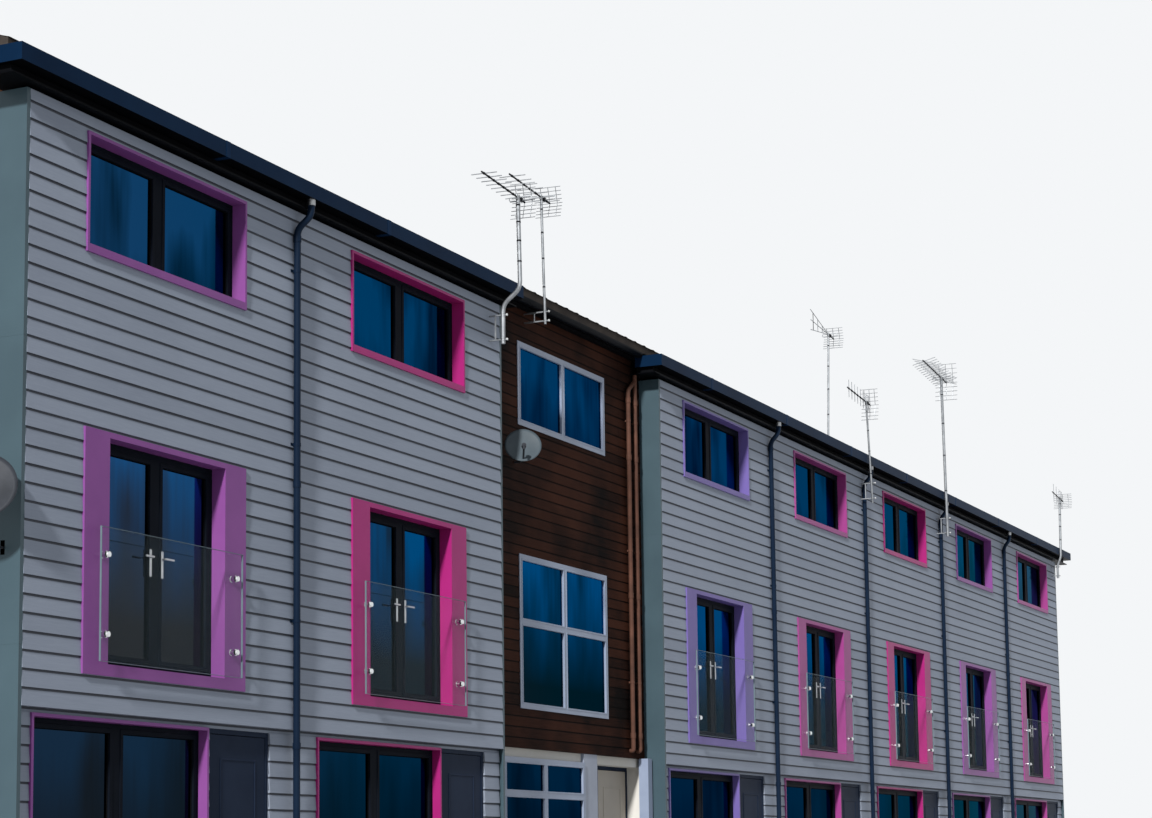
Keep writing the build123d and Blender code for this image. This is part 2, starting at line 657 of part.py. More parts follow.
def eaves():
    boxes, packers = [], []
    laps = ((BOX_LEFT_LAP, BOX_INNER_LAP), (BOX_LEFT_LAP, BOX_RIGHT_LAP))
    sheet_top = VENT_SHEET_BOTTOM + VENT_SHEET
    for (start, end), (left, right) in zip(GROUPS, laps):
        x0, x1 = start - left, end + right
        trough = eaves_box(x0, x1)
        sheet = box(x0, x1, VENT_SHEET_FRONT, BROWN_SETBACK, VENT_SHEET_BOTTOM, sheet_top)
        packer = box(x0 + PACKER_IN, x1 - PACKER_IN, VENT_SHEET_FRONT + PACKER_IN,
                     FASCIA_FACE, sheet_top, BOX_BOTTOM)
        boxes += [trough, sheet, rear(trough), rear(sheet)]
        packers += [packer, rear(packer)]
    write("eaves_boxes", boxes)
    board = box(LEFT_END - VERGE, RIGHT_END + BOX_RIGHT_LAP, FASCIA_FACE,
                FASCIA_FACE + FASCIA_THICK, BROWN_SOFFIT, roof_under(FASCIA_FACE))
    write("roof_fascias", [board, rear(board), *packers])


def brown_eaves():
    soffit = box(LEFT_GROUP_END, RIGHT_GROUP_START, FASCIA_FACE + FASCIA_THICK, OVERCLAD,
                 BROWN_SOFFIT, BROWN_SOFFIT + FASCIA_THICK)
    write("brown_bay_soffits", [soffit, rear(soffit)])
    x0, x1 = LEFT_GROUP_END + BOX_INNER_LAP, RIGHT_GROUP_START - BOX_LEFT_LAP
    lower = Pos(0, -GUTTER_R) * Rectangle(2 * GUTTER_R, 2 * GUTTER_R)
    ring = (Circle(GUTTER_R) - Circle(GUTTER_R - GUTTER_WALL)) & lower
    gutter = extrude(Plane.YZ.offset(x0) * ring, x1 - x0)
    gutter = Pos(0, FASCIA_FACE - GUTTER_R, GUTTER_TOP) * gutter
    write("brown_bay_gutters", [gutter, rear(gutter)])


# Rainwater pipes at the party lines, with an offset under the eaves and clips to the wall
def clips(x, pipe_back, wall, heights):
    half = CLIP_WIDE / 2
    return [box(x - half, x + half, pipe_back, wall, z, z + CLIP_TALL) for z in heights]


def downpipe(x):
    outlet = x + OUTLET_SHIFT
    run = tube_along([(outlet, OUTLET_Y, BOX_BOTTOM), (outlet, OUTLET_Y, BOX_BOTTOM - STUB_TALL),
                      (x, -PIPE_OFF, BOX_BOTTOM - SWAN_TALL), (x, -PIPE_OFF, SHOE_HEIGHT)],
                     PIPE_R)
    back = PIPE_R - PIPE_OFF
    low = [z for z in CLIP_HEIGHTS if z < CLAD_BOTTOM]
    high = [z for z in CLIP_HEIGHTS if z > CLAD_BOTTOM]
    return run + clips(x, back, GROUND_BOARD_SETBACK, low) + clips(x, back, 0, high)


def pipes():
    runs = [downpipe(bay_start(n) - PIPE_IN) for n in PIPE_BAYS]
    write("downpipes", runs + [rear(r) for r in runs])
    x, y = RIGHT_GROUP_START - STACK_TO_GROUP, BROWN_SETBACK - STACK_OFF
    turn = BROWN_BOTTOM + PIPE_TURN
    stack = tube_along([(x, y, VENT_SHEET_BOTTOM), (x, y, turn), (x, BROWN_SETBACK, turn)],
                       STACK_R)
    w = x - WASTE_TO_STACK
    join = BOX_BOTTOM - WASTE_DROP
    waste = tube_along([(x, y, join + WASTE_FALL), (w, y, join), (w, y, turn),
                        (w, BROWN_SETBACK, turn)], STACK_R)
    high = [z for z in CLIP_HEIGHTS if z > turn + STACK_R]
    held = [c for a in (w, x) for c in clips(a, y + STACK_R, BROWN_SETBACK, high)]
    write("brown_bay_pipes", [stack + waste + held])


# Television aerials. A mast stands on a bracket with two arms, bent forward where the eaves
# are in its way, and carries a boom of cross rods with a folded reflector behind.
def bracket(x, y, wall, levels):
    half = BRACKET_PLATE / 2
    face = wall - BRACKET_THICK
    piece = box(x - half, x + half, face, wall, levels[0] - half, levels[1] + half)
    for z in levels:
        piece += box(x - ARM / 2, x + ARM / 2, y - ARM_OVER, face, z - ARM / 2, z + ARM / 2)
    return piece


def mast(points, radius):
    path = Polyline(*points)
    start = Plane(origin=path @ 0, x_dir=(1, 0, 0), z_dir=path % 0)
    section = RegularPolygon(radius, MAST_SIDES)
    return sweep(start * section, path=path, transition=Transition.RIGHT)


def reflector(back, half, fold):
    """Two flaps of rods behind the mast, folded up and down from the end of the boom."""
    piece = rod((back, -half, 0), (back, half, 0), ROD_R, ROD_SIDES)
    for way in (1, -1):
        tip = (back - FOLD_BACK, 0, way * fold)
        piece += rod((back, 0, 0), tip, ROD_R, ROD_SIDES)
        for share in (0.5, 1):
            x, z = back - FOLD_BACK * share, way * fold * share
            piece += rod((x, -half, z), (x, half, z), ROD_R, ROD_SIDES)
    return piece


def rake(reach, back, rods, half, fold, upright=False):
    """Boom along -X from the mast, with its cross rods level or upright."""
    piece = box(-reach, back, -BOOM / 2, BOOM / 2, -BOOM / 2, BOOM / 2)
    for i in range(rods):
        x = (i + 0.5) * (reach + back) / rods - reach
        tip = (0, half) if upright else (half, 0)
        piece += rod((x, -tip[0], -tip[1]), (x, tip[0], tip[1]), ROD_R, ROD_SIDES)
    return piece + reflector(back, half, fold)


def fan(reach, back, spread):
    """Three booms that draw together at the mast, with upright rods across them."""
    piece = box(-SLIM_MAST_R, back, -BOOM / 2, BOOM / 2, -BOOM / 2, BOOM / 2)
    for way in (1, 0, -1):
        piece += rod((-reach, 0, way * spread), (0, 0, 0), ROD_R, ROD_SIDES)
    for share in FAN_SHARES:
        x, z = -reach * share, spread * share
        piece += rod((x, 0, -z), (x, 0, z), ROD_R, ROD_SIDES)
    return piece + reflector(back, spread, spread)


def aerial(points, radius, holder, antenna):
    top = Vector(*points[-1]) - Vector(0, 0, BOOM_DROP)
    return mast(points, radius) + holder + Pos(*top) * Rot(0, 0, AIM) * antenna


def aerials():
    eaves = BOX_BOTTOM
    x = LEFT_GROUP_END - 300
    first = aerial([(x, -190, eaves - 635), (x, -190, eaves - 185), (x, -410, eaves - 25),
                    (x - 40, -410, eaves + 1045)],
                   MAST_R, bracket(x, -190, 0, (eaves - 585, eaves - 305)),
                   rake(reach=1080, back=220, rods=9, half=150, fold=200))
    x = LEFT_GROUP_END + 1180
    second = aerial([(x, -10, eaves - 85), (x - 75, -10, eaves + 1470)], SLIM_MAST_R,
                    bracket(x, -10, BROWN_SETBACK, (eaves - 45, eaves + 65)),
                    rake(reach=1030, back=300, rods=7, half=160, fold=180))
    x, y = bay_start(5) + 2600, GUTTER_MAST_Y
    strap = eaves + BOX_TALL + ARM
    third = aerial([(x, y, eaves + 2 * BOX_SHEET), (x + 150, y, eaves + GUTTER_MAST_TALL)],
                   SLIM_MAST_R,
                   box(x - ARM, x + 2 * ARM, y, FASCIA_FACE, strap - ARM / 2, strap + ARM / 2),
                   fan(FAN_REACH, back=350, spread=FAN_SPREAD))
    x = bay_start(6) - 150
    fourth = aerial([(x, -225, eaves - 645), (x - 200, -225, eaves + 1020)], SLIM_MAST_R,
                    bracket(x, -225, 0, (eaves - 565, eaves - 315)),
                    rake(reach=1300, back=300, rods=8, half=140, fold=250, upright=True))
    x = bay_start(7) - 200
    fifth = aerial([(x, -225, eaves - 660), (x - 110, -225, eaves + 2240)], MAST_R,
                   bracket(x, -225, 0, (eaves - 595, eaves - 330)),
                   rake(reach=1600, back=500, rods=12, half=200, fold=330))
    x = RIGHT_END - 340
    sixth = aerial([(x, -150, eaves - 495), (x, -150, eaves - 205), (x, -225, eaves - 55),
                    (x + 80, -225, eaves + 1245)],
                   MAST_R, bracket(x, -150, 0, (eaves - 445, eaves - 255)),
                   rake(reach=1000, back=500, rods=4, half=190, fold=150, upright=True))
    write("aerials", [first, second, third])
    write("aerial_party_5_6", [fourth])
    write("aerial_party_6_7", [fifth])
    write("aerial_right_end", [sixth])


# Satellite dishes: a shallow dish on an arm from the wall, with its feed on a lower arm
def dish(centre, radius, foot, away):
    centre, foot = Vector(*centre), Vector(*foot)
    facing = Vector(*DISH_FACING).normalized()
    depth = radius * DISH_DEPTH
    ball = (radius ** 2 + depth ** 2) / (2 * depth)
    shell = Pos(0, 0, ball) * (Sphere(ball) - Sphere(ball - DISH_SKIN))
    bowl = shell & extrude(RegularPolygon(radius, DISH_SIDES), 2 * depth, both=True)
    frame = Plane(origin=centre, x_dir=Vector(0, 0, 1).cross(facing), z_dir=facing)
    piece = frame * bowl
    low = centre - frame.y_dir * (radius * 0.8) + facing * (DISH_SKIN + depth * 0.6)
    feed = centre - frame.y_dir * (radius * 0.55) + facing * (radius * 1.1)
    piece += rod(low, feed, DISH_ARM_R, ROD_SIDES)
    piece += rod(feed, feed - facing * FEED_LONG, FEED_R, MAST_SIDES)
    knee = foot + Vector(*away) * (radius * 0.45)
    seat = centre - frame.y_dir * (radius * 0.25) + facing * DISH_SKIN
    piece += rod(foot, knee, DISH_ARM_R, MAST_SIDES)
    piece += rod(knee, seat, DISH_ARM_R, MAST_SIDES)
    return piece


def dishes():
    z = FIRST_FLOOR + 1410
    left = dish((LEFT_END - 340, 120, z), 300, (LEFT_END, 160, z - 430), (-1, 0, 0))
    x, z = LEFT_GROUP_END + 690, SECOND_SILL - 330
    right = dish((x, 60, z), 215, (x + 200, BROWN_SETBACK, z - 140), (0, -1, 0))
    write("satellite_dishes", [left, right])


os.makedirs("parts", exist_ok=True)
floors()
masonry()
end_walls()
grey_cladding()
corner_trims()
brown_cladding()
surrounds()
windows()
balustrades()
doors()
porch()
roof()
eaves()
brown_eaves()
pipes()
aerials()
dishes()
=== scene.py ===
import bmesh
import bpy
from math import cos, floor, pi, radians, sin, sqrt
from mathutils import Matrix, Vector


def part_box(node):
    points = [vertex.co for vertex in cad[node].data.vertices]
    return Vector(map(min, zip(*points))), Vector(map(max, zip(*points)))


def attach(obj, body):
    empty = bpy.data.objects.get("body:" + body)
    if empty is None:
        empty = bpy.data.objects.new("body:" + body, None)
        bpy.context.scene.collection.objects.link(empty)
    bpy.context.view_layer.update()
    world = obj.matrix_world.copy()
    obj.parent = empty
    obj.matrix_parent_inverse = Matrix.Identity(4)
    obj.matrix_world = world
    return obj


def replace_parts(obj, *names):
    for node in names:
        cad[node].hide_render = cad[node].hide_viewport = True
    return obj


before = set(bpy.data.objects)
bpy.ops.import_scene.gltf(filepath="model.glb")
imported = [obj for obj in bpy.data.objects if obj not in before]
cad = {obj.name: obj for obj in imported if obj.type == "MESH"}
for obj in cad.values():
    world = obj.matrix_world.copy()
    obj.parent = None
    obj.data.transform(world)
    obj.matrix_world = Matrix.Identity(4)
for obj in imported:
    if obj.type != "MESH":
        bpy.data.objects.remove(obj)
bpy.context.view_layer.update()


# Ground slab, plinth strips and floors: concrete cast in place on the site, tamped and floated.
# It is grey with darker damp patches, and fine pits where air bubbles met the shutter.
def linear(code):
    """An sRGB hex value as the linear colour that a shader takes."""
    parts = [int(code[i:i + 2], 16) / 255 for i in (1, 3, 5)]
    return [c / 12.92 if c <= 0.04045 else ((c + 0.055) / 1.055) ** 2.4 for c in parts] + [1.0]


def add_node(tree, kind, links=None, **settings):
    """Adds one node. A setting is a property of the node, or an input named with spaces as _,
    or numbered as in0; a link joins an input to (node, output)."""
    node = tree.nodes.new("ShaderNode" + kind)
    for name, value in settings.items():
        if hasattr(node, name):
            setattr(node, name, value)
        elif name[:2] == "in" and name[2:].isdigit():
            node.inputs[int(name[2:])].default_value = value
        else:
            node.inputs[name.replace("_", " ")].default_value = value
    for name, (source, output) in (links or {}).items():
        tree.links.new(source.outputs[output], node.inputs[name])
    return node


def start_material(name, **surface):
    """A material with its surface shader and the place of each point in metres."""
    material = bpy.data.materials.new(name)
    material.use_nodes = True
    tree = material.node_tree
    tree.nodes.clear()
    shader = add_node(tree, "BsdfPrincipled", **surface)
    add_node(tree, "OutputMaterial", {"Surface": (shader, "BSDF")})
    place = add_node(tree, "TexCoord")
    return material, tree, shader, place


def mottled(name, low, high, patch, grit, depth, roughness, gloss=0.5, metallic=0.0):
    """A plain finish: broad patches between two colours, and a fine relief. Patch and grit are
    the real sizes in metres of the patches and of the relief, depth is the relief's height and
    gloss the specular level."""
    material, tree, shader, place = start_material(
        name, Roughness=roughness, Specular_IOR_Level=gloss, Metallic=metallic)
    broad = add_node(tree, "TexNoise", {"Vector": (place, "Object")},
                     Scale=1 / patch, Detail=3.0, Roughness=0.6)
    ramp = add_node(tree, "MapRange", {"Value": (broad, "Fac")}, From_Min=0.32, From_Max=0.68)
    mix = add_node(tree, "Mix", {0: (ramp, "Result")}, data_type="RGBA", in6=linear(low),
                   in7=linear(high))
    tree.links.new(mix.outputs[2], shader.inputs["Base Color"])
    fine = add_node(tree, "TexNoise", {"Vector": (place, "Object")}, Scale=1 / grit, Detail=2.0)
    bump = add_node(tree, "Bump", {"Height": (fine, "Fac")}, Strength=0.6, Distance=depth)
    tree.links.new(bump.outputs["Normal"], shader.inputs["Normal"])
    return material


def finish_nodes(material, *names):
    """Gives CAD nodes the material in place of their plain one."""
    for name in names:
        cad[name].data.materials.clear()
        cad[name].data.materials.append(material)


cast_concrete = mottled("cast_concrete", "#8B8883", "#A9A6A0", 0.6, 0.012, 0.002, 0.85)
finish_nodes(cast_concrete, "ground_slab", "plinth_strips", "first_floor", "second_floor")


# Inner faces: the old blockwork wall is plastered and painted off-white, and the top ceiling is
# painted plasterboard. Both are flat and matt, with the faint stipple that a roller leaves.
emulsioned_plaster = mottled("emulsioned_plaster", "#CFCBC2", "#DAD6CE", 1.2, 0.006, 0.0006, 0.9)
finish_nodes(emulsioned_plaster, "masonry_piers", "masonry_bands", "masonry_sills",
             "right_end_wall", "top_ceiling")


# Left party wall: clay bricks of 215 x 65 mm laid in stretcher bond on 10 mm of mortar. Each
# brick has its own fired shade, and the joints are raked a little behind the faces.
BRICK_LONG, BRICK_TALL, JOINT = 0.215, 0.065, 0.010


def stretcher_bond():
    material, tree, shader, place = start_material("fired_clay_brick", Roughness=0.86)
    split = add_node(tree, "SeparateXYZ", {"Vector": (place, "Object")})
    flat = add_node(tree, "CombineXYZ", {"X": (split, "Y"), "Y": (split, "Z")})
    bond = add_node(tree, "TexBrick", {"Vector": (flat, "Vector")},
                    Scale=1.0, Mortar_Size=JOINT / 2, Mortar_Smooth=0.2, Bias=-0.2,
                    Brick_Width=BRICK_LONG + JOINT, Row_Height=BRICK_TALL + JOINT,
                    Color1=linear("#8C5A3E"), Color2=linear("#A87654"), Mortar=linear("#A09A90"))
    tree.links.new(bond.outputs["Color"], shader.inputs["Base Color"])
    bump = add_node(tree, "Bump", {"Height": (bond, "Fac")}, invert=True, Strength=0.8,
                    Distance=0.005)
    tree.links.new(bump.outputs["Normal"], shader.inputs["Normal"])
    return material


finish_nodes(stretcher_bond(), "left_party_wall")


# Grey over-cladding: fibre-cement boards 10 mm thick, painted in the works, with the grain of
# sawn cedar pressed in. Each course laps the one below, so its lower edge stands out.
BAY = 4.4
PARTY_LINE = -17.69
LEFT_GROUP_END, RIGHT_GROUP_START = PARTY_LINE + 8.83, PARTY_LINE + 13.44
GREY_BAYS = (1, 2, 4, 5, 6, 7, 8)
COURSE, LAP, BOARD, FOOT_OUT = 0.150, 0.022, 0.010, 0.0105
LEAN = FOOT_OUT / COURSE
STARTER_STRIP, TRIM_LAP = 0.045, 0.043
BUTT_GAP, SHORTEST, THINNEST, ROUNDING = 0.001, 0.05, 0.004, 0.01
WINDOW, FRENCH_DOOR = (1.050, 3.500), (1.383, 3.167)
LOW_WINDOW, DOOR = (0.460, 2.990), (3.020, 4.030)
GROUND_LEVELS, BAND_LEVELS, SECOND_LEVELS = (0.900, 2.540), (2.890, 4.955), (6.450, 7.490)
REAR_LEVELS = (GROUND_LEVELS, (3.820, 4.860), SECOND_LEVELS)
trim_low, trim_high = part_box("corner_trims")
band_low, band_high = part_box("grey_cladding_bands")
pier_low, pier_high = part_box("ground_cladding_piers")
sill_low, sill_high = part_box("ground_cladding_sills")
front_face, low_face = band_low.y, pier_low.y
band_foot = band_low.z + STARTER_STRIP
left_group = (trim_low.x + TRIM_LAP, LEFT_GROUP_END - TRIM_LAP)
right_group = (RIGHT_GROUP_START + TRIM_LAP, trim_high.x - TRIM_LAP)


def party(bay):
    return PARTY_LINE + (bay - 1) * BAY


def opened(bay, span, low, high):
    """An opening of a bay, as (x0, x1, low, high)."""
    return (party(bay) + span[0], party(bay) + span[1], low, high)


def strips(bounds, openings):
    """Plain strips of wall as (x0, x1, low, high), beside, over and under a row's openings,
    of which those of one storey share their heights."""
    x0, x1, low, high = bounds
    found, level = [], low
    for bottom, top in sorted({(o[2], o[3]) for o in openings}):
        row = sorted(o for o in openings if o[2] == bottom and x0 < o[0] < x1)
        if not row:
            continue
        if bottom > level:
            found.append((x0, x1, level, bottom))
        edges = [x0] + [x for o in row for x in o[:2]] + [x1]
        found += [(a, b, bottom, top) for a, b in zip(edges[::2], edges[1::2]) if b > a]
        level = top
    if high > level:
        found.append((x0, x1, level, high))
    return found


def lapped_boards(mesh, places, base, face, course=COURSE, board=BOARD, lean=LEAN, lap=LAP,
                  breaks=()):
    """Lays courses of boards over each strip. Each course starts a whole number of courses from
    base and leans out from the wall's face to its lower edge. Breaks are the butt joints."""
    for x0, x1, low, high in places:
        cuts = [x0] + [x for x in breaks if x0 + SHORTEST < x < x1 - SHORTEST] + [x1]
        for a, b in zip(cuts, cuts[1:]):
            a, b = a + BUTT_GAP * (a in breaks), b - BUTT_GAP * (b in breaks)
            first = floor((low - base) / course + ROUNDING)
            last = floor((high - base) / course - ROUNDING)
            for step in range(first, last + 1):
                foot = base + step * course
                z0, z1 = max(foot, low), min(foot + course + lap, high)
                if z1 - z0 < THINNEST:
                    continue
                middle = face - board / 2 - lean * (foot + course - (z0 + z1) / 2)
                tilt = Matrix.Identity(4)
                tilt[1][2] = lean
                where = Matrix.Translation(((a + b) / 2, middle, (z0 + z1) / 2))
                size = Matrix.Diagonal((b - a, board, z1 - z0, 1))
                bmesh.ops.create_cube(mesh, size=1, matrix=where @ tilt @ size)


def new_piece(name, mesh, material, body="building", smooth=False):
    """Turns a mesh of closed solids into a finished piece that rides on a body."""
    bmesh.ops.recalc_face_normals(mesh, faces=mesh.faces)
    data = bpy.data.meshes.new(name)
    mesh.to_mesh(data)
    mesh.free()
    data.materials.append(material)
    if smooth:
        data.shade_smooth()
    piece = bpy.data.objects.new(name, data)
    bpy.context.scene.collection.objects.link(piece)
    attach(piece, body)
    return piece


def turn_to_rear(mesh):
    """The same pieces on the rear face, which repeats the front across the row's middle."""
    bmesh.ops.scale(mesh, vec=(1, -1, 1), verts=mesh.verts)


LAP_SHADOW_SHARE, WEAR_PATCH = 0.13, 1.3


def painted_boards(name, low, high, lap_shadow_colour, course, base, grain, wear, **surface):
    """Board paint: each board has a tone of its own and grain along it, and sun and rain wear it
    in patches. The strip at the top of each board, just under the lap above, is painted dark as
    the shadow of that lap."""
    material, tree, shader, place = start_material(name, Roughness=0.62, **surface)
    split = add_node(tree, "SeparateXYZ", {"Vector": (place, "Object")})
    rise = add_node(tree, "Math", {0: (split, "Z")}, operation="SUBTRACT", in1=base)
    row = add_node(tree, "Math", {0: (rise, "Value")}, operation="DIVIDE", in1=course)
    row_number = add_node(tree, "Math", {0: (row, "Value")}, operation="FLOOR")
    row_share = add_node(tree, "Math", {0: (row, "Value")}, operation="FRACT")
    along = add_node(tree, "Math", {0: (split, "X")}, operation="SUBTRACT", in1=PARTY_LINE)
    length = add_node(tree, "Math", {0: (along, "Value")}, operation="DIVIDE", in1=BAY)
    bay_number = add_node(tree, "Math", {0: (length, "Value")}, operation="FLOOR")
    own = add_node(tree, "CombineXYZ", {"X": (bay_number, "Value"), "Z": (row_number, "Value")})
    shade = add_node(tree, "TexWhiteNoise", {"Vector": (own, "Vector")})
    stretch = add_node(tree, "Mapping", {"Vector": (place, "Object")}, Scale=(0.04, 0.04, 1.0))
    fibres = add_node(tree, "TexNoise", {"Vector": (stretch, "Vector")},
                      Scale=1 / grain, Detail=4.0, Roughness=0.65)
    both = add_node(tree, "Math", {0: (shade, "Value"), 2: (fibres, "Fac")},
                    operation="MULTIPLY_ADD", in1=0.5)
    worn = add_node(tree, "TexNoise", {"Vector": (place, "Object")}, Scale=1 / WEAR_PATCH,
                    Detail=3.0)
    patches = add_node(tree, "MapRange", {"Value": (worn, "Fac")},
                       From_Min=0.35, From_Max=0.65, To_Min=-wear, To_Max=wear)
    total = add_node(tree, "Math", {0: (both, "Value"), 1: (patches, "Result")}, operation="ADD")
    ramp = add_node(tree, "MapRange", {"Value": (total, "Value")}, From_Min=0.25, From_Max=1.25)
    paint = add_node(tree, "Mix", {0: (ramp, "Result")}, data_type="RGBA", in6=linear(low),
                     in7=linear(high))
    # Painted shadow: the top strip of each board, under the lap above, fades to the shadow colour.
    painted_lap_shadow = add_node(tree, "MapRange", {"Value": (row_share, "Value")},
                         From_Min=0.98 - LAP_SHADOW_SHARE, From_Max=1.01 - LAP_SHADOW_SHARE, To_Max=0.88)
    with_lap_shadow = add_node(tree, "Mix", {0: (painted_lap_shadow, "Result"), 6: (paint, 2)},
                      data_type="RGBA", in7=linear(lap_shadow_colour))
    tree.links.new(with_lap_shadow.outputs[2], shader.inputs["Base Color"])
    bump = add_node(tree, "Bump", {"Height": (fibres, "Fac")}, Strength=0.5, Distance=0.001)
    tree.links.new(bump.outputs["Normal"], shader.inputs["Normal"])
    return material


# The third colour is the painted shadow under each lap.
fibre_cement_grey = painted_boards("fibre_cement_grey", "#838B99", "#949CAA", "#1A1C24", COURSE,
                                   band_foot, 0.009, 0.15, Specular_IOR_Level=0.3)
finish_nodes(fibre_cement_grey, "grey_cladding_piers", "grey_cladding_bands",
             "ground_cladding_piers", "ground_cladding_sills", "right_end_cladding")
COURSES_DOWN = 20
party_lines = [party(n) for n in (2, 5, 6, 7, 8)]
upper_front = [opened(n, WINDOW, *levels) for n in GREY_BAYS
               for levels in (BAND_LEVELS, SECOND_LEVELS)]
upper_rear = [opened(n, WINDOW, *levels) for n in GREY_BAYS for levels in REAR_LEVELS[1:]]
low_front = [opened(n, LOW_WINDOW, sill_high.z, pier_high.z) for n in GREY_BAYS]
low_rear = [opened(n, WINDOW, sill_high.z, pier_high.z) for n in GREY_BAYS]
doorways = [opened(n, DOOR, sill_low.z, pier_high.z) for n in GREY_BAYS]
for side, upper, low in (("front", upper_front, low_front), ("rear", upper_rear, low_rear)):
    boards = bmesh.new()
    for x0, x1 in (left_group, right_group):
        lapped_boards(boards, strips((x0, x1, band_foot, band_high.z), upper), band_foot,
                      front_face, breaks=party_lines)
        for a, b, z0, z1 in strips((x0, x1, sill_low.z, pier_high.z), low):
            cuts = [x for d in doorways if side == "front" and a < d[0] < b for x in d[:2]]
            edges = [a, *cuts, b]
            places = [(p, q, z0, z1) for p, q in zip(edges[::2], edges[1::2])]
            lapped_boards(boards, places, band_foot - COURSES_DOWN * COURSE, low_face,
                          breaks=party_lines)
    if side == "rear":
        turn_to_rear(boards)
    new_piece(f"lapped_boards_{side}", boards, fibre_cement_grey)


# Right gable: the same boards close the end wall, cut along the roof's underside, with a
# pressed angle at each edge. They are nailed to battens over the wall, course by course.
wall_low, wall_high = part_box("right_end_cladding")
ROOF_PITCH, UNDER_ROOF = radians(17.5), 0.004
gable = bmesh.new()
lapped_boards(gable, [(wall_low.y, wall_high.y, wall_low.z, wall_high.z)], band_foot, 0)
for way in (1, -1):
    bmesh.ops.bisect_plane(gable, geom=gable.verts[:] + gable.edges[:] + gable.faces[:],
                           plane_co=(0, 0, wall_high.z - UNDER_ROOF), clear_outer=True,
                           plane_no=(way * sin(ROOF_PITCH), 0, cos(ROOF_PITCH)))
    bmesh.ops.holes_fill(gable, edges=[e for e in gable.edges if e.is_boundary], sides=0)
bmesh.ops.rotate(gable, verts=gable.verts, matrix=Matrix.Rotation(radians(90), 3, "Z"))
bmesh.ops.translate(gable, verts=gable.verts, vec=(wall_high.x, 0, 0))
new_piece("lapped_boards_gable", gable, fibre_cement_grey)


# Corner trims: 2 mm aluminium folded to an angle and powder coated grey-green. Lengths meet
# at narrow cover sleeves, and the coating gives an even satin sheen.
def ease(mesh, edges, soft):
    """Takes the sharpness off edges with a narrow flat."""
    bmesh.ops.bevel(mesh, geom=list(edges), offset=soft, segments=1, profile=0.5,
                    affect="EDGES", material=-1)


def bar(mesh, x0, x1, y0, y1, z0, z1, soft=0.0):
    """A straight bar or plate between two corners, with its edges eased by soft."""
    size = Matrix.Diagonal((x1 - x0, y1 - y0, z1 - z0, 1))
    where = Matrix.Translation(((x0 + x1) / 2, (y0 + y1) / 2, (z0 + z1) / 2))
    made = bmesh.ops.create_cube(mesh, size=1, matrix=where @ size)
    if soft:
        ease(mesh, {e for v in made["verts"] for e in v.link_edges}, soft)


def front_and_rear(name, mesh, material):
    """A piece on the front face, and its mirror image on the rear face."""
    rear = mesh.copy()
    turn_to_rear(rear)
    front = new_piece(f"{name}_front", mesh, material)
    new_piece(f"{name}_rear", rear, material)
    return front


trim_coat = mottled("powder_coated_trim", "#394C54", "#40545C", 0.8, 0.004, 0.0002, 0.45,
                    gloss=0.3)
finish_nodes(trim_coat, "corner_trims")
SLEEVE, SLEEVE_WIDE, SLEEVE_LIP, SLEEVE_DEEP, SLEEVE_HALF = 0.0012, 0.045, 0.010, 0.28, 0.03
sleeves = bmesh.new()
for x, way in ((trim_low.x, 1), (LEFT_GROUP_END, -1), (RIGHT_GROUP_START, 1),
               (trim_high.x, -1)):
    for z in (3.10, 5.60):
        levels = (z - SLEEVE_HALF, z + SLEEVE_HALF)
        outer, inner = x - way * SLEEVE, x + way * (SLEEVE_WIDE + SLEEVE)
        bar(sleeves, *sorted((outer, inner)), trim_low.y - SLEEVE, trim_low.y + SLEEVE_LIP,
            *levels)
        bar(sleeves, *sorted((outer, x)), trim_low.y + SLEEVE_LIP, front_face + SLEEVE_DEEP,
            *levels)
front_and_rear("trim_sleeves", sleeves, trim_coat)


# Brown bay: sawn softwood boards under a dark stain that has weathered unevenly, so the grain
# shows as lighter streaks. They lap at 125 mm and are nailed to the old wall.
BROWN_COURSE, BROWN_BOARD, BROWN_LEAN, BROWN_LAP = 0.125, 0.008, 0.052, 0.018
BROWN_WINDOW = (PARTY_LINE + 9.810, PARTY_LINE + 12.300)
BROWN_FIRST_LEVELS, BROWN_SECOND_LEVELS = (3.110, 4.917), (6.450, 7.455)
brown_low, brown_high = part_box("brown_cladding")
# The third colour, near black, is the painted shadow under each lap.
stained_softwood = painted_boards("stained_softwood", "#0A0707", "#3E241A", "#050404",
                                  BROWN_COURSE, brown_low.z, 0.014, 0.45,
                                  Specular_IOR_Level=0.02)
finish_nodes(stained_softwood, "brown_cladding")
for side, storeys in (("front", (BROWN_FIRST_LEVELS, BROWN_SECOND_LEVELS)),
                      ("rear", (REAR_LEVELS[1], BROWN_SECOND_LEVELS))):
    boards = bmesh.new()
    bounds = (LEFT_GROUP_END, RIGHT_GROUP_START, brown_low.z, brown_high.z)
    lapped_boards(boards, strips(bounds, [(*BROWN_WINDOW, *levels) for levels in storeys]),
                  brown_low.z, brown_low.y, BROWN_COURSE, BROWN_BOARD, BROWN_LEAN, BROWN_LAP,
                  breaks=(PARTY_LINE + 9.4, PARTY_LINE + 12.75))
    if side == "rear":
        turn_to_rear(boards)
    new_piece(f"brown_boards_{side}", boards, stained_softwood)


# Brown bay's ground floor: planed softwood panels under a gloss paint. Brushed on by hand, it
# keeps faint strokes, and it has gone a little uneven in the weather.
gloss_painted_wood = mottled("gloss_painted_wood", "#8990A0", "#989FAE", 0.5, 0.01, 0.0006, 0.4)
finish_nodes(gloss_painted_wood, "brown_bay_ground_panels")


# Coloured surrounds: 3 mm aluminium folded into trays and bands, powder coated in four
# colours. The coating is smooth with a faint orange peel, and bright where it faces the light.
def powder_coat(name, low, high):
    return mottled(name, low, high, 0.7, 0.003, 0.00015, 0.38, gloss=0.15)


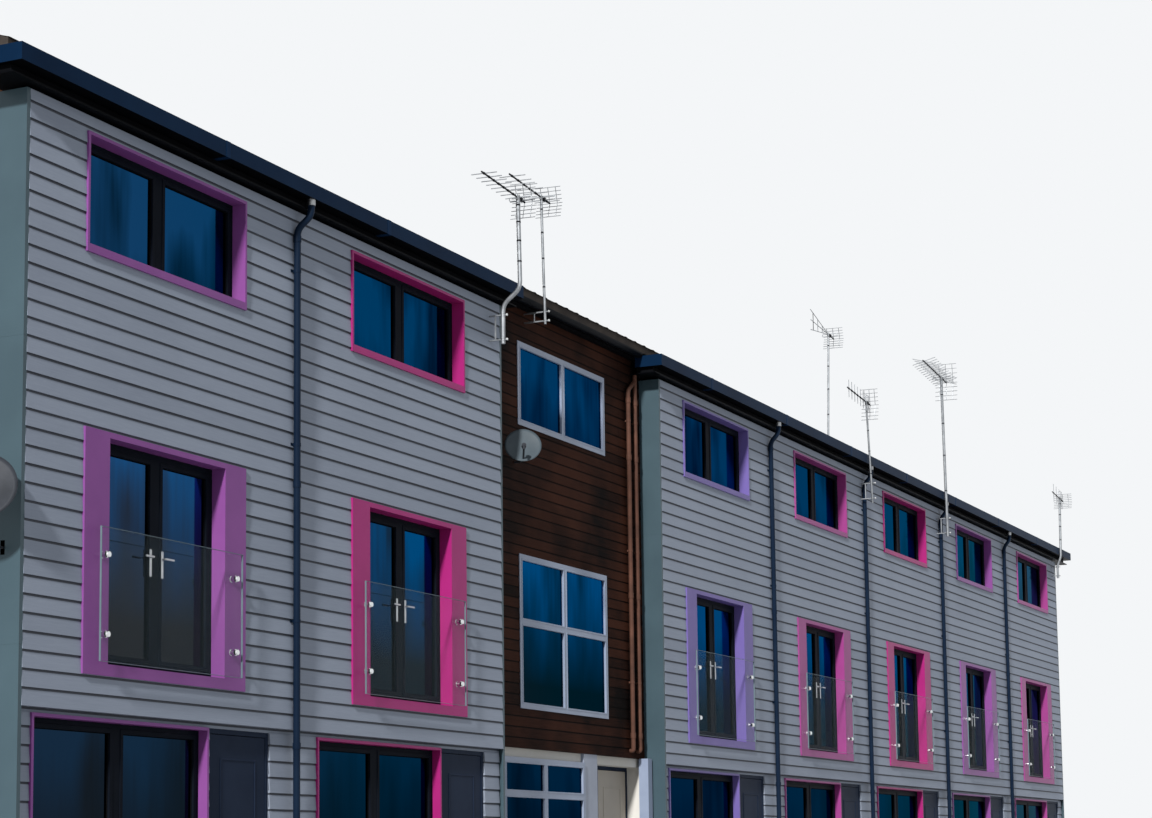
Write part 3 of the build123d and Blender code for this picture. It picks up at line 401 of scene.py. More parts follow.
COATS = {"surrounds_orchid": ("orchid_powder_coat", "#82488A", "#8C4F93"),
         "surrounds_hot_pink": ("hot_pink_powder_coat", "#9F216C", "#A92774"),
         "surrounds_lavender": ("lavender_powder_coat", "#6C5D9C", "#7565A5"),
         "surrounds_magenta": ("magenta_powder_coat", "#953C7D", "#9F4386")}
for node, (name, low, high) in COATS.items():
    finish_nodes(powder_coat(name, low, high), node)


# Window frames and French doors: welded uPVC profiles under a dull, nearly black foil, and
# plain white ones in the brown bay. Each light has a sash that laps the frame, and a rubber
# gasket holds its sealed pane.
def ring(mesh, x0, x1, z0, z1, y0, y1, width, soft=0.003):
    """A mitred frame: a flat sheet, its edge kept as a border and drawn back to its depth."""
    where = Matrix.Translation(((x0 + x1) / 2, y0, (z0 + z1) / 2))
    size = Matrix.Diagonal(((x1 - x0) / 2, 1, (z1 - z0) / 2, 1))
    stand = Matrix.Rotation(radians(90), 4, "X")
    sheet = bmesh.ops.create_grid(mesh, x_segments=1, y_segments=1, size=1,
                                  matrix=where @ size @ stand)
    face = sheet["verts"][0].link_faces[0]
    border = bmesh.ops.inset_region(mesh, faces=[face], thickness=width, use_boundary=True,
                                    use_even_offset=True)
    bmesh.ops.delete(mesh, geom=[face], context="FACES")
    made = bmesh.ops.extrude_face_region(mesh, geom=border["faces"])
    back = [v for v in made["geom"] if isinstance(v, bmesh.types.BMVert)]
    bmesh.ops.translate(mesh, verts=back, vec=(0, y1 - y0, 0))
    if soft:
        ease(mesh, {e for f in border["faces"] for e in f.edges}, soft)


def lights(x0, x1, z0, z1, columns=2, splits=(), wide=0.075, mullion=0.120):
    """The clear rectangles inside a frame, as (x0, x1, z0, z1)."""
    pitch = (x1 - x0 - 2 * wide + mullion) / columns
    levels = [z0 + wide] + [z for s in splits for z in (s - wide / 2, s + wide / 2)] + [z1 - wide]
    return [(x0 + wide + c * pitch, x0 + wide + (c + 1) * pitch - mullion, b, t)
            for c in range(columns) for b, t in zip(levels[::2], levels[1::2])]


anthracite_profile = mottled("anthracite_upvc_foil", "#11151C", "#161A22", 0.4, 0.0012, 0.0002,
                             0.42, gloss=0.01)
white_profile = mottled("white_upvc", "#8893A8", "#929DB1", 0.5, 0.004, 0.0001, 0.3, gloss=0.3)
gasket_rubber = mottled("epdm_gasket", "#0B0B0C", "#101011", 0.1, 0.002, 0.0002, 0.7, gloss=0.01)
finish_nodes(anthracite_profile, "window_frames_second", "window_frames_first_rear",
             "french_doors", "window_frames_ground")
finish_nodes(white_profile, "brown_bay_windows")
FRAME_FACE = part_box("window_frames_second")[0].y
SASH, SASH_LAP, GASKET, GASKET_IN, PANE_IN = 0.042, 0.006, 0.010, 0.014, 0.023
WHITE_SASH, WHITE_LAP, WHITE_OUT, WHITE_IN = 0.020, 0.004, 0.024, 0.003
FRENCH_LEVELS = (2.978, 4.917)
BROWN_GROUND = (PARTY_LINE + 9.350, PARTY_LINE + 11.575, *GROUND_LEVELS)
first_transom = BROWN_FIRST_LEVELS[0] + 0.56 * (BROWN_FIRST_LEVELS[1] - BROWN_FIRST_LEVELS[0])
LOW_TRANSOM = 2.120
grey_openings = {
    "front": [opened(n, span, *levels) for n in GREY_BAYS for span, levels in (
        (WINDOW, SECOND_LEVELS), (FRENCH_DOOR, FRENCH_LEVELS), (LOW_WINDOW, GROUND_LEVELS))],
    "rear": [opened(n, WINDOW, *levels) for n in GREY_BAYS for levels in REAR_LEVELS]}
brown_openings = {
    "front": (((*BROWN_WINDOW, *BROWN_SECOND_LEVELS), ()),
              ((*BROWN_WINDOW, *BROWN_FIRST_LEVELS), (first_transom,)),
              (BROWN_GROUND, (LOW_TRANSOM,))),
    "rear": (((*BROWN_WINDOW, *BROWN_SECOND_LEVELS), ()),
             ((*BROWN_WINDOW, *REAR_LEVELS[1]), ()),
             ((*BROWN_WINDOW, *GROUND_LEVELS), (LOW_TRANSOM,)))}
for side in ("front", "rear"):
    sashes, gaskets, white_sashes = bmesh.new(), bmesh.new(), bmesh.new()
    for opening in grey_openings[side]:
        for a, b, c, d in lights(*opening):
            ring(sashes, a - SASH_LAP, b + SASH_LAP, c - SASH_LAP, d + SASH_LAP,
                 FRAME_FACE - SASH_LAP, FRAME_FACE + PANE_IN, SASH)
            inset = SASH - GASKET
            ring(gaskets, a + inset, b - inset, c + inset, d - inset,
                 FRAME_FACE + GASKET_IN, FRAME_FACE + PANE_IN, GASKET, 0)
    for opening, splits in brown_openings[side]:
        for a, b, c, d in lights(*opening, splits=splits, wide=0.055, mullion=0.060):
            ring(white_sashes, a - WHITE_LAP, b + WHITE_LAP, c - WHITE_LAP, d + WHITE_LAP,
                 brown_low.y - WHITE_OUT, brown_low.y + WHITE_IN, WHITE_SASH)
    for name, mesh, material, slot in (
            ("sashes", sashes, anthracite_profile, "anthracite_frame"),
            ("gaskets", gaskets, gasket_rubber, "anthracite_frame"),
            ("white_sashes", white_sashes, white_profile, "white_frame")):
        if side == "rear":
            turn_to_rear(mesh)
        new_piece(f"{name}_{side}", mesh, material)


# Handles of the French doors: levers of brushed stainless steel with a soft grey shine, one
# on each leaf by the middle. A short neck holds each off a long plate screwed to the sash.
handle_steel = mottled("brushed_handle_steel", "#B4B6B8", "#C2C4C6", 0.05, 0.0008, 0.0001, 0.3,
                       metallic=1.0)
HANDLE_Z, HANDLE_APART, MIDDLE = 3.95, 0.088, sum(FRENCH_DOOR) / 2
PLATE_HALF, NECK_HALF, LEVER_UP, LEVER_HALF, LEVER_LONG = 0.016, 0.008, 0.040, 0.009, 0.125
handles = bmesh.new()
for n in GREY_BAYS:
    for way in (-1, 1):
        x = party(n) + MIDDLE + way * HANDLE_APART
        bar(handles, x - PLATE_HALF, x + PLATE_HALF, FRAME_FACE - 0.014, FRAME_FACE - 0.006,
            HANDLE_Z - 0.13, HANDLE_Z + 0.11, 0.003)
        a, b = sorted((x, x + way * 0.012))
        z = HANDLE_Z + LEVER_UP
        bar(handles, a - NECK_HALF, b + NECK_HALF, FRAME_FACE - 0.050, FRAME_FACE - 0.012,
            z - NECK_HALF, z + NECK_HALF, 0.003)
        bar(handles, *sorted((x, x + way * LEVER_LONG)), FRAME_FACE - 0.058,
            FRAME_FACE - 0.044, z - LEVER_HALF, z + LEVER_HALF, 0.004)
new_piece("french_door_handles", handles, handle_steel)


# Glazing: sealed units of float glass with a solar-control coating. Their colour is painted
# reflection: dark low in each storey and deep blue higher up, where the sky would mirror in them.
BAND, WAVE = 0.06, 0.7


def glass_with_painted_reflection(name, low, high, base, reach):
    """A mirror tint painted as reflection, from low at the base to high over its reach. Rolled
    glass is never quite flat, so upright bands 60 mm wide and taller patches are painted into that
    reflection."""
    material, tree, shader, place = start_material(
        name, Metallic=1.0, Roughness=0.06, Specular_Tint=linear("#A1B3BC"))
    split = add_node(tree, "SeparateXYZ", {"Vector": (place, "Object")})
    # Painted reflection: dark at the base of each storey's panes, deep blue higher up where the
    # sky would mirror.
    rise = add_node(tree, "MapRange", {"Value": (split, "Z")},
                    From_Min=base, From_Max=base + reach)
    drawn = add_node(tree, "Mapping", {"Vector": (place, "Object")}, Scale=(1.0, 1.0, 0.08))
    bands = add_node(tree, "TexNoise", {"Vector": (drawn, "Vector")}, Scale=1 / BAND, Detail=1.0)
    tall = add_node(tree, "Mapping", {"Vector": (place, "Object")}, Scale=(1.0, 1.0, 0.35))
    waves = add_node(tree, "TexNoise", {"Vector": (tall, "Vector")}, Scale=1 / WAVE, Detail=2.0)
    patches = add_node(tree, "MapRange", {"Value": (waves, "Fac")},
                       From_Min=0.32, From_Max=0.62, To_Max=0.85)
    uneven = add_node(tree, "Math", {0: (bands, "Fac"), 2: (patches, "Result")},
                      operation="MULTIPLY_ADD", in1=0.35)
    both = add_node(tree, "Math", {0: (rise, "Result"), 1: (uneven, "Value")},
                    operation="MULTIPLY")
    lifted = add_node(tree, "Math", {0: (both, "Value")}, operation="MULTIPLY", in1=1.5,
                      use_clamp=True)
    mix = add_node(tree, "Mix", {0: (lifted, "Value")}, data_type="RGBA", in6=linear(low),
                   in7=linear(high))
    tree.links.new(mix.outputs[2], shader.inputs["Base Color"])
    return material


for storey, low, high, base, reach in (("second", "#10171F", "#1B4168", 5.9, 1.2),
                                       ("first", "#282627", "#1F4F80", 3.4, 1.6),
                                       ("ground", "#1A1B1E", "#1B2C40", 1.2, 1.6)):
    coating = glass_with_painted_reflection(f"glass_with_painted_reflection_{storey}", low, high, base, reach)
    finish_nodes(coating, f"glazing_{storey}")


# Glass guards: toughened clear sheets 17.5 mm thick, each held off the surround by four
# stainless steel posts with domed caps. The polished edges show as pale grey-green lines.
clear_sheet, tree, shader, place = start_material(
    "toughened_clear_glass", Roughness=0.02, Alpha=0.035, Specular_IOR_Level=0.2)
shader.inputs["Base Color"].default_value = linear("#7C929B")
finish_nodes(clear_sheet, "balustrade_glass")
polished_edge = mottled("polished_glass_edge", "#5F7077", "#6B7C82", 0.3, 0.01, 0.0001, 0.3,
                        gloss=0.2)
polished_steel = mottled("polished_stainless_steel", "#D8D9DA", "#E2E3E4", 0.05, 0.001, 0.00005,
                         0.12, metallic=1.0)
finish_nodes(polished_steel, "balustrade_fixings")
GUARD_HALF, EDGE, TOP_EDGE, SKIN, POST_IN, POST_UP = 1.075, 0.005, 0.003, 0.0004, 0.095, 0.230
CAP_R, DOME_R, CAP_TALL, WASHER, STAND_OFF = 0.030, 0.024, 0.012, 0.004, 0.050


def stud(mesh, x, y, z, depth, inner, outer, sides=24):
    """A round stud that stands out from the wall, wider or narrower at its outer end."""
    turned = Matrix.Translation((x, y, z)) @ Matrix.Rotation(radians(90), 4, "X")
    bmesh.ops.create_cone(mesh, cap_ends=True, segments=sides, radius1=inner, radius2=outer,
                          depth=depth, matrix=turned)


guard_low, guard_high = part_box("balustrade_glass")
thick = (guard_low.y - SKIN, guard_high.y + SKIN)
edges_of_glass, caps = bmesh.new(), bmesh.new()
for n in GREY_BAYS:
    x0, x1 = party(n) + MIDDLE - GUARD_HALF, party(n) + MIDDLE + GUARD_HALF
    for a, b in ((x0 - SKIN, x0 + EDGE), (x1 - EDGE, x1 + SKIN)):
        bar(edges_of_glass, a, b, *thick, guard_low.z, guard_high.z, 0.001)
    bar(edges_of_glass, x0, x1, *thick, guard_high.z - TOP_EDGE, guard_high.z + SKIN)
    bar(edges_of_glass, x0, x1, *thick, guard_low.z - SKIN, guard_low.z + TOP_EDGE)
    for x in (x0 + POST_IN, x1 - POST_IN):
        for z in (guard_low.z + POST_UP, guard_high.z - POST_UP):
            stud(caps, x, guard_low.y - CAP_TALL / 2, z, CAP_TALL, CAP_R, DOME_R)
            for y in (WASHER / 2, STAND_OFF - WASHER / 2):
                stud(caps, x, guard_high.y + y, z, WASHER, CAP_R, CAP_R)
new_piece("guard_edges", edges_of_glass, polished_edge)
new_piece("guard_caps", caps, polished_steel)


# Front doors: flush steel-faced leaves painted dark grey, in a jamb of the same paint, each
# with a letter plate, a spy hole, a weather bar and lever handles. The porch's is cream.
door_paint = mottled("satin_door_paint", "#20293A", "#263042", 0.6, 0.003, 0.00015, 0.4,
                     gloss=0.02)
finish_nodes(door_paint, "door_jambs", "door_heads",
             *[f"front_door_{n}" for n in GREY_BAYS])
porch_paint = mottled("eggshell_porch_paint", "#A49C90", "#AEA699", 0.5, 0.006, 0.0003, 0.5)
finish_nodes(porch_paint, "front_door_3")
finish_nodes(polished_steel, "door_hinges")
finish_nodes(white_profile, "porch_panel", "porch_post")
PORCH_DOOR, HANDLE_SIDE, LEAF_FACE, LEAF_EDGE = 3, 0.060, 0.050, 0.008
LETTER_PLATE, LETTER_FLAP, LOCK_PLATE, SPY_HOLE = (1.02, 1.09), (1.035, 1.075), (0.93, 1.16), 1.60
PANELS, PANEL_IN, BEAD, BEAD_WIDE = ((1.24, 2.28), (0.36, 0.94)), 0.16, 0.006, 0.018
for n in range(1, 9):
    low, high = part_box(f"front_door_{n}")
    face = low.y + LEAF_FACE
    x0, x1 = low.x, high.x - LEAF_EDGE
    furniture, mouldings = bmesh.new(), bmesh.new()
    middle, lock = (x0 + x1) / 2, x0 + HANDLE_SIDE
    bar(furniture, middle - 0.135, middle + 0.135, face - 0.006, face, *LETTER_PLATE, 0.002)
    bar(furniture, middle - 0.110, middle + 0.110, face - 0.009, face - 0.005, *LETTER_FLAP, 0.001)
    stud(furniture, middle, face - 0.003, SPY_HOLE, 0.006, 0.014, 0.011, 16)
    bar(furniture, lock - 0.017, lock + 0.017, face - 0.005, face, *LOCK_PLATE, 0.002)
    bar(mouldings, x0 + 0.010, x1 - 0.010, face - 0.022, face, low.z + 0.004, low.z + 0.040,
        0.006)
    for levels in PANELS:
        ring(mouldings, x0 + PANEL_IN, x1 - PANEL_IN, *levels, face - BEAD, face, BEAD_WIDE)
    body, paint, slot = f"door_{n}", door_paint, "door_paint"
    if n == PORCH_DOOR:
        paint, slot = porch_paint, "porch_door_paint"
    new_piece(f"door_furniture_{n}", furniture, handle_steel, body)
    new_piece(f"door_mouldings_{n}", mouldings, paint, body)


# Roof: interlocking concrete tiles, 300 x 345 mm to the weather, each a flat pan with one
# roll. They are coloured through and sanded, so they look dull and grainy, and are laid from
# the eaves up, each row on the last.
EAVES_LINE, EAVES_TOP = -3.980, 8.055
TILE_WIDE, TILE_LONG, TILE_SKIN, GAUGE, EAVES_OVERHANG = 0.300, 0.420, 0.002, 0.345, 0.008
VERGE, SIDE_ROOM, TILE_LAP, TILE_DROP = 0.001, 0.004, 0.001, 0.005


def draw_out(mesh, edges, reach):
    """Draws a sheet out of edges along a vector, and gives the verts at its far side."""
    made = bmesh.ops.extrude_edge_only(mesh, edges=edges)
    verts = [v for v in made["geom"] if isinstance(v, bmesh.types.BMVert)]
    bmesh.ops.translate(mesh, verts=verts, vec=reach)
    return verts


def repeat(mesh, step, times):
    """Sets further copies of a whole mesh beside it, each a step on from the last."""
    bmesh.ops.spin(mesh, geom=mesh.faces[:], cent=(0, 0, 0), axis=(0, 0, 1), angle=0,
                   dvec=step, steps=times, use_duplicate=True)


roof_low, roof_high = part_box("roof_front")
roof_long = roof_high.x - roof_low.x
columns = round(roof_long / TILE_WIDE)
tile_pitch = (roof_long - SIDE_ROOM) / columns
further_rows = int(-EAVES_LINE / cos(ROOF_PITCH) / GAUGE) - 1
sanded_tile = mottled("sanded_concrete_tile", "#2F2B29", "#463F3A", 0.35, 0.004, 0.0015, 0.9,
                      gloss=0.15)
finish_nodes(sanded_tile, "roof_front", "roof_rear")
tiles = bmesh.new()
line = [tiles.verts.new((x, 0, z)) for x, z in (
    (0, 0.005), (0.210, 0.005), (0.224, 0.010), (0.246, 0.013), (0.272, 0.012),
    (0.292, 0.008), (tile_pitch + TILE_LAP, 0.006))]
ribs = [tiles.edges.new(pair) for pair in zip(line, line[1:])]
draw_out(tiles, ribs, (0, TILE_LONG, -TILE_DROP))
draw_out(tiles, ribs, (0, 0, -TILE_DROP))
bmesh.ops.recalc_face_normals(tiles, faces=tiles.faces)
bmesh.ops.solidify(tiles, geom=tiles.faces[:], thickness=-TILE_SKIN)
repeat(tiles, (tile_pitch, 0, 0), columns - 1)
repeat(tiles, (0, GAUGE, 0), further_rows)
bmesh.ops.translate(tiles, verts=tiles.verts, vec=(0, -EAVES_OVERHANG, 0))
bmesh.ops.transform(tiles, verts=tiles.verts, matrix=Matrix.Translation(
    (roof_low.x + VERGE, EAVES_LINE, EAVES_TOP)) @ Matrix.Rotation(ROOF_PITCH, 4, "X"))
front_and_rear("roof_tiles", tiles, sanded_tile)


# Ridge: half-round tiles of the same concrete, each 450 mm long, bedded over the two slopes.
# One end of each is a little wider and laps the next.
RIDGE_TILE, RIDGE_LAP, RIDGE_WALL, RIDGE_STEPS = 0.450, 0.030, 0.012, 12
ridge_low, ridge_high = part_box("ridge_tiles")
RIDGE_R = ridge_high.y
ridge_long = ridge_high.x - ridge_low.x
ridge_count = round(ridge_long / RIDGE_TILE)
ridge_gauge = (ridge_long - RIDGE_LAP) / ridge_count
ridge = bmesh.new()
start = ridge.verts.new((0, RIDGE_R + 0.008, 0))
bmesh.ops.spin(ridge, geom=[start], cent=(0, 0, 0), axis=(1, 0, 0), angle=pi,
               steps=RIDGE_STEPS)
far = draw_out(ridge, ridge.edges[:], (ridge_gauge + RIDGE_LAP, 0, 0))
bmesh.ops.scale(ridge, vec=(1, 0.95, 0.95), verts=far)
bmesh.ops.recalc_face_normals(ridge, faces=ridge.faces)
bmesh.ops.solidify(ridge, geom=ridge.faces[:], thickness=RIDGE_WALL)
repeat(ridge, (ridge_gauge, 0, 0), ridge_count - 1)
bmesh.ops.translate(ridge, verts=ridge.verts,
                    vec=(ridge_low.x, 0, ridge_high.z - RIDGE_R - RIDGE_WALL / 2))
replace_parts(new_piece("half_round_ridge", ridge, sanded_tile), "ridge_tiles")


# Fascia, packers and the brown bay's soffit: softwood painted black-brown; on the packers, under
# the eaves boxes, this near black is also painted shade. The grey bays' vent sheet is painted near
# black as shade, and nothing but its thin edge shows.
# Near black: the fascia's own paint, and painted shade on the packers.
black_paint_and_painted_shade = mottled("softwood_black_and_painted_shade", "#0A0A0C", "#101114", 0.5, 0.005, 0.0003, 0.55,
                      gloss=0.01)
finish_nodes(black_paint_and_painted_shade, "roof_fascias", "brown_bay_soffits")
gutter_upvc = mottled("black_upvc", "#0D0F13", "#12151A", 0.5, 0.004, 0.0001, 0.35, gloss=0.02)
finish_nodes(gutter_upvc, "brown_bay_gutters")


# Eaves boxes: aluminium folded into a deep box gutter and powder coated dark blue-grey, in 3 m
# lengths that meet under joint straps. The box's underside and the thin vent sheet below it are
# painted near black as shade.
eaves_low, eaves_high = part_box("eaves_boxes")
BOX_BOTTOM = eaves_high.z - 0.148
box_coat_and_painted_shade = mottled("eaves_coat_and_painted_shade", "#081E36", "#0D2640", 0.9, 0.003, 0.00015, 0.4, gloss=0.02)
tree = box_coat_and_painted_shade.node_tree
painted = tree.nodes["Principled BSDF"].inputs["Base Color"]
place = add_node(tree, "TexCoord")
split = add_node(tree, "SeparateXYZ", {"Vector": (place, "Object")})
# Painted shade: below the box's bottom the coat turns near black, on the box's underside and on
# the vent sheet.
above = add_node(tree, "Math", {0: (split, "Z")}, operation="GREATER_THAN",
                 in1=BOX_BOTTOM + 0.0005)
painted_shade_below_box = add_node(tree, "Mix", {0: (above, "Value"), 7: (painted.links[0].from_node, 2)},
                       data_type="RGBA", in6=linear("#07080B"))
tree.links.new(painted_shade_below_box.outputs[2], painted)
finish_nodes(box_coat_and_painted_shade, "eaves_boxes")
strap_coat = mottled("strap_powder_coat", "#0E2743", "#122C49", 0.5, 0.004, 0.0001, 0.4,
                     gloss=0.02)
BOX_LENGTH, STRAP_HALF, STRAP, STRAP_BACK = 3.0, 0.035, 0.003, -3.93
for side in ("front", "rear"):
    straps = bmesh.new()
    x = eaves_low.x + BOX_LENGTH
    while x < eaves_high.x - 0.3:
        if not LEFT_GROUP_END < x < RIGHT_GROUP_START:
            bar(straps, x - STRAP_HALF, x + STRAP_HALF, eaves_low.y, STRAP_BACK,
                BOX_BOTTOM - STRAP, BOX_BOTTOM + 0.001)
            if side == "front":
                bar(straps, x - STRAP_HALF, x + STRAP_HALF, eaves_low.y - STRAP,
                    eaves_low.y + 0.004, BOX_BOTTOM - 0.002, eaves_high.z + 0.002)
        x += BOX_LENGTH
    if side == "rear":
        turn_to_rear(straps)
    new_piece(f"eaves_straps_{side}", straps, strap_coat)


# Rainwater pipes: 68 mm aluminium tube, powder coated near black, with swept bends under the
# eaves, socket collars between lengths, and clips screwed to the boards.
def round_tube(mesh, points, radius, sides=16, bend=0.0, steps=5):
    """A round tube through points in metres, with its corners bent to about that radius."""
    points = [Vector(p) for p in points]
    path = [points[0]]
    for before, here, after in zip(points, points[1:], points[2:]):
        back, on = (before - here).normalized(), (after - here).normalized()
        cut = min(bend, (before - here).length / 2, (after - here).length / 2)
        for t in [i / steps for i in range(steps + 1)]:
            path.append((1 - t) ** 2 * (here + back * cut) + 2 * t * (1 - t) * here
                        + t ** 2 * (here + on * cut))
    path.append(points[-1])
    ways = [(b - a).normalized() for a, b in zip(path, path[1:])]
    ways = [ways[0]] + [(a + b).normalized() for a, b in zip(ways, ways[1:])] + [ways[-1]]
    turn = Vector((0, 0, 1)).rotation_difference(ways[0]).to_matrix().to_4x4()
    loop = bmesh.ops.create_circle(mesh, cap_ends=True, segments=sides, radius=radius,
                                   matrix=Matrix.Translation(path[0]) @ turn)
    edges = list(loop["verts"][0].link_faces[0].edges)
    for i in range(1, len(path)):
        made = bmesh.ops.extrude_edge_only(mesh, edges=edges)["geom"]
        verts = [v for v in made if isinstance(v, bmesh.types.BMVert)]
        edges = [e for e in made if isinstance(e, bmesh.types.BMEdge)
                 and all(v in verts for v in e.verts)]
        turn = ways[i - 1].rotation_difference(ways[i]).to_matrix().to_4x4()
        bmesh.ops.transform(mesh, verts=verts, matrix=Matrix.Translation(path[i]) @ turn
                            @ Matrix.Translation(-path[i - 1]))
    bmesh.ops.edgeloop_fill(mesh, edges=edges)


def collar(mesh, x, y, z0, z1, radius, sides=24):
    """A plain upright collar round a pipe or mast."""
    where = Matrix.Translation((x, y, (z0 + z1) / 2))
    bmesh.ops.create_cone(mesh, cap_ends=True, segments=sides, radius1=radius, radius2=radius,
                          depth=z1 - z0, matrix=where)


pipe_coat = mottled("pipe_powder_coat", "#111E30", "#172537", 0.5, 0.003, 0.0001, 0.35, gloss=0.04)
bare_aluminium = mottled("bare_aluminium", "#8E9093", "#A2A4A6", 0.08, 0.003, 0.0003, 0.45,
                         metallic=1.0)
PIPE_R, PIPE_OUT, MOUTH_OUT = 0.034, front_face - 0.055, front_face - 0.140
SOCKET, CLIP, CLIP_HALF, EAR_HALF = 0.060, 0.030, 0.022, 0.060
clip_heights = (1.500, 3.600, 5.300, 7.000)
pipes, outlets = bmesh.new(), bmesh.new()
for n in (2, 5, 6, 7, 8):
    x, outlet = party(n) - 0.040, party(n) + 0.080
    round_tube(pipes, [(outlet, MOUTH_OUT, BOX_BOTTOM), (outlet, MOUTH_OUT, BOX_BOTTOM - 0.155),
                       (x, PIPE_OUT, BOX_BOTTOM - 0.315), (x, PIPE_OUT, 0.200)], PIPE_R, 20,
               bend=0.07)
    collar(outlets, outlet, MOUTH_OUT, BOX_BOTTOM - 0.060, BOX_BOTTOM, 0.040)
    for z in (BOX_BOTTOM - 0.440, 4.90, 2.40):
        collar(pipes, x, PIPE_OUT, z, z + SOCKET, PIPE_R + 0.005)
    for z in clip_heights:
        collar(pipes, x, PIPE_OUT, z, z + CLIP, PIPE_R + 0.0035)
        wall = front_face if z > band_foot else low_face
        bar(pipes, x - CLIP_HALF, x + CLIP_HALF, PIPE_OUT + 0.030, wall, z, z + CLIP)
        for way in (-1, 1):
            bar(pipes, *sorted((x + way * CLIP_HALF, x + way * EAR_HALF)), wall - 0.020,
                wall - 0.014, z, z + CLIP, 0.001)
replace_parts(front_and_rear("downpipes", pipes, pipe_coat), "downpipes")
front_and_rear("pipe_outlets", outlets, bare_aluminium)


# Brown bay's pipes: a soil stack and a waste pipe of 56 mm uPVC, painted brown long ago and
# chalky now. They are jointed by sockets, held by clips, and turn in above the porch.
def on_front(x, y, z):
    """A place given from the first party line, the face of the grey boards and the ground."""
    return Vector((PARTY_LINE + x, front_face + y, z))


chalky_brown = mottled("chalky_brown_upvc", "#4B342B", "#674639", 0.3, 0.006, 0.0004, 0.5,
                       gloss=0.1)
STACK_R, STACK_Y, WALL_Y, TURN_Z, STACK_X, WASTE_X = 0.028, 0.225, 0.280, 2.740, 13.200, 12.980
brown_wall = front_face + WALL_Y
stacks = bmesh.new()
for x, head in ((STACK_X, [(STACK_X, STACK_Y, 7.655)]),
                (WASTE_X, [(STACK_X, STACK_Y, 7.570), (WASTE_X, STACK_Y, 7.420)])):
    run = head + [(x, STACK_Y, TURN_Z), (x, WALL_Y, TURN_Z)]
    round_tube(stacks, [on_front(*p) for p in run], STACK_R, 20, bend=0.06)
    cx, cy, _ = on_front(x, STACK_Y, 0)
    for z in (2.900, 4.700, 6.500, 7.250):
        collar(stacks, cx, cy, z, z + 0.070, STACK_R + 0.006)
    for z in clip_heights[1:]:
        collar(stacks, cx, cy, z, z + CLIP, STACK_R + 0.003)
        bar(stacks, cx - 0.045, cx + 0.045, brown_wall - 0.008, brown_wall, z, z + CLIP, 0.001)
        bar(stacks, cx - 0.012, cx + 0.012, cy + 0.020, brown_wall, z + 0.004, z + 0.026)
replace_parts(new_piece("brown_stacks", stacks, chalky_brown), "brown_bay_pipes")


# Television aerials: galvanised masts, cranked where the eaves are in their way, each held by
# a bracket of two capped arms. Dark booms carry aluminium rods, a dipole and a reflector.
galvanised = mottled("galvanised_tube", "#7F8285", "#A0A3A6", 0.12, 0.004, 0.0004, 0.5,
                     metallic=1.0)
dark_plastic = mottled("weathered_black_plastic", "#17181B", "#25262A", 0.05, 0.003, 0.0003, 0.6,
                       gloss=0.1)
cap_plastic = mottled("white_end_caps", "#C9CAC8", "#D5D6D4", 0.05, 0.003, 0.0001, 0.45)
AIM = radians(5)
ROD_R, BOOM_R, FOLD_BACK, BOOM_DROP, BOX_R, DIPOLE_X = 0.0055, 0.010, 0.070, 0.030, 0.026, 0.085


def struts(mesh, boom, pairs, radius, sides=6):
    """Straight round rods, each between two places that are given from the boom's fixing."""
    for start, end in pairs:
        round_tube(mesh, [boom @ Vector(start), boom @ Vector(end)], radius, sides)


def reflector(metal, boom, back, half, fold):
    """Two flaps of rods behind the mast, folded up and down from the end of the boom."""
    pairs = [((back, -half, 0), (back, half, 0))]
    for way in (1, -1):
        for y in (-0.6 * half, 0, 0.6 * half):
            pairs.append(((back, y, 0), (back - FOLD_BACK, y, way * fold)))
        for share in (0.25, 0.5, 0.75, 1):
            x, z = back - FOLD_BACK * share, way * fold * share
            pairs.append(((x, -half, z), (x, half, z)))
    struts(metal, boom, pairs, ROD_R * 0.8)


def dipole(metal, dark, boom, half, upright):
    """A rod bent to a closed loop through its junction box on the boom."""
    corners = ((0, -0.012), (half, -0.012), (half, 0.030), (-half, 0.030), (-half, -0.012),
               (0, -0.012))
    path = [boom @ Vector((DIPOLE_X, b, a) if upright else (DIPOLE_X, a, b)) for a, b in corners]
    round_tube(metal, path, ROD_R, 6, bend=0.018, steps=3)
    struts(dark, boom, [((DIPOLE_X - 0.035, 0, 0), (DIPOLE_X + 0.035, 0, 0))], BOX_R, 8)


def rake(metal, dark, boom, reach, back, rods, half, fold, upright=False, crossed=False):
    """A boom with its cross rods level, upright or crossed in pairs, each in its saddle."""
    struts(dark, boom, [((-reach, 0, 0), (back, 0, 0))], BOOM_R, 8)
    tips = [(0, half)] if upright else [(half, 0)]
    if crossed:
        tips = [(half, 0.28 * half), (half, -0.28 * half)]
    for i in range(rods):
        x = (i + 0.5) * (reach + back) / rods - reach
        struts(metal, boom, [((x, -y, -z), (x, y, z)) for y, z in tips], ROD_R)
        struts(dark, boom, [((x - 0.012, 0, 0), (x + 0.012, 0, 0))], 0.015, 8)
    dipole(metal, dark, boom, 0.9 * half, upright)
    reflector(metal, boom, back, half, fold)


def fan(metal, dark, boom, reach, back, spread):
    """Three thin booms that draw together at the mast, with upright rods across them."""
    struts(dark, boom, [((-0.016, 0, 0), (back, 0, 0))], BOOM_R, 8)
    struts(metal, boom, [((-reach, 0, way * spread), (0, 0, 0)) for way in (1, 0, -1)], ROD_R)
    for mesh, share in ((metal, 0.35), (metal, 0.6), (dark, 0.85)):
        x, z = -reach * share, spread * share
        struts(mesh, boom, [((x, 0, -z), (x, 0, z))], ROD_R)
    dipole(metal, dark, boom, 0.12, False)
    reflector(metal, boom, back, spread, spread)


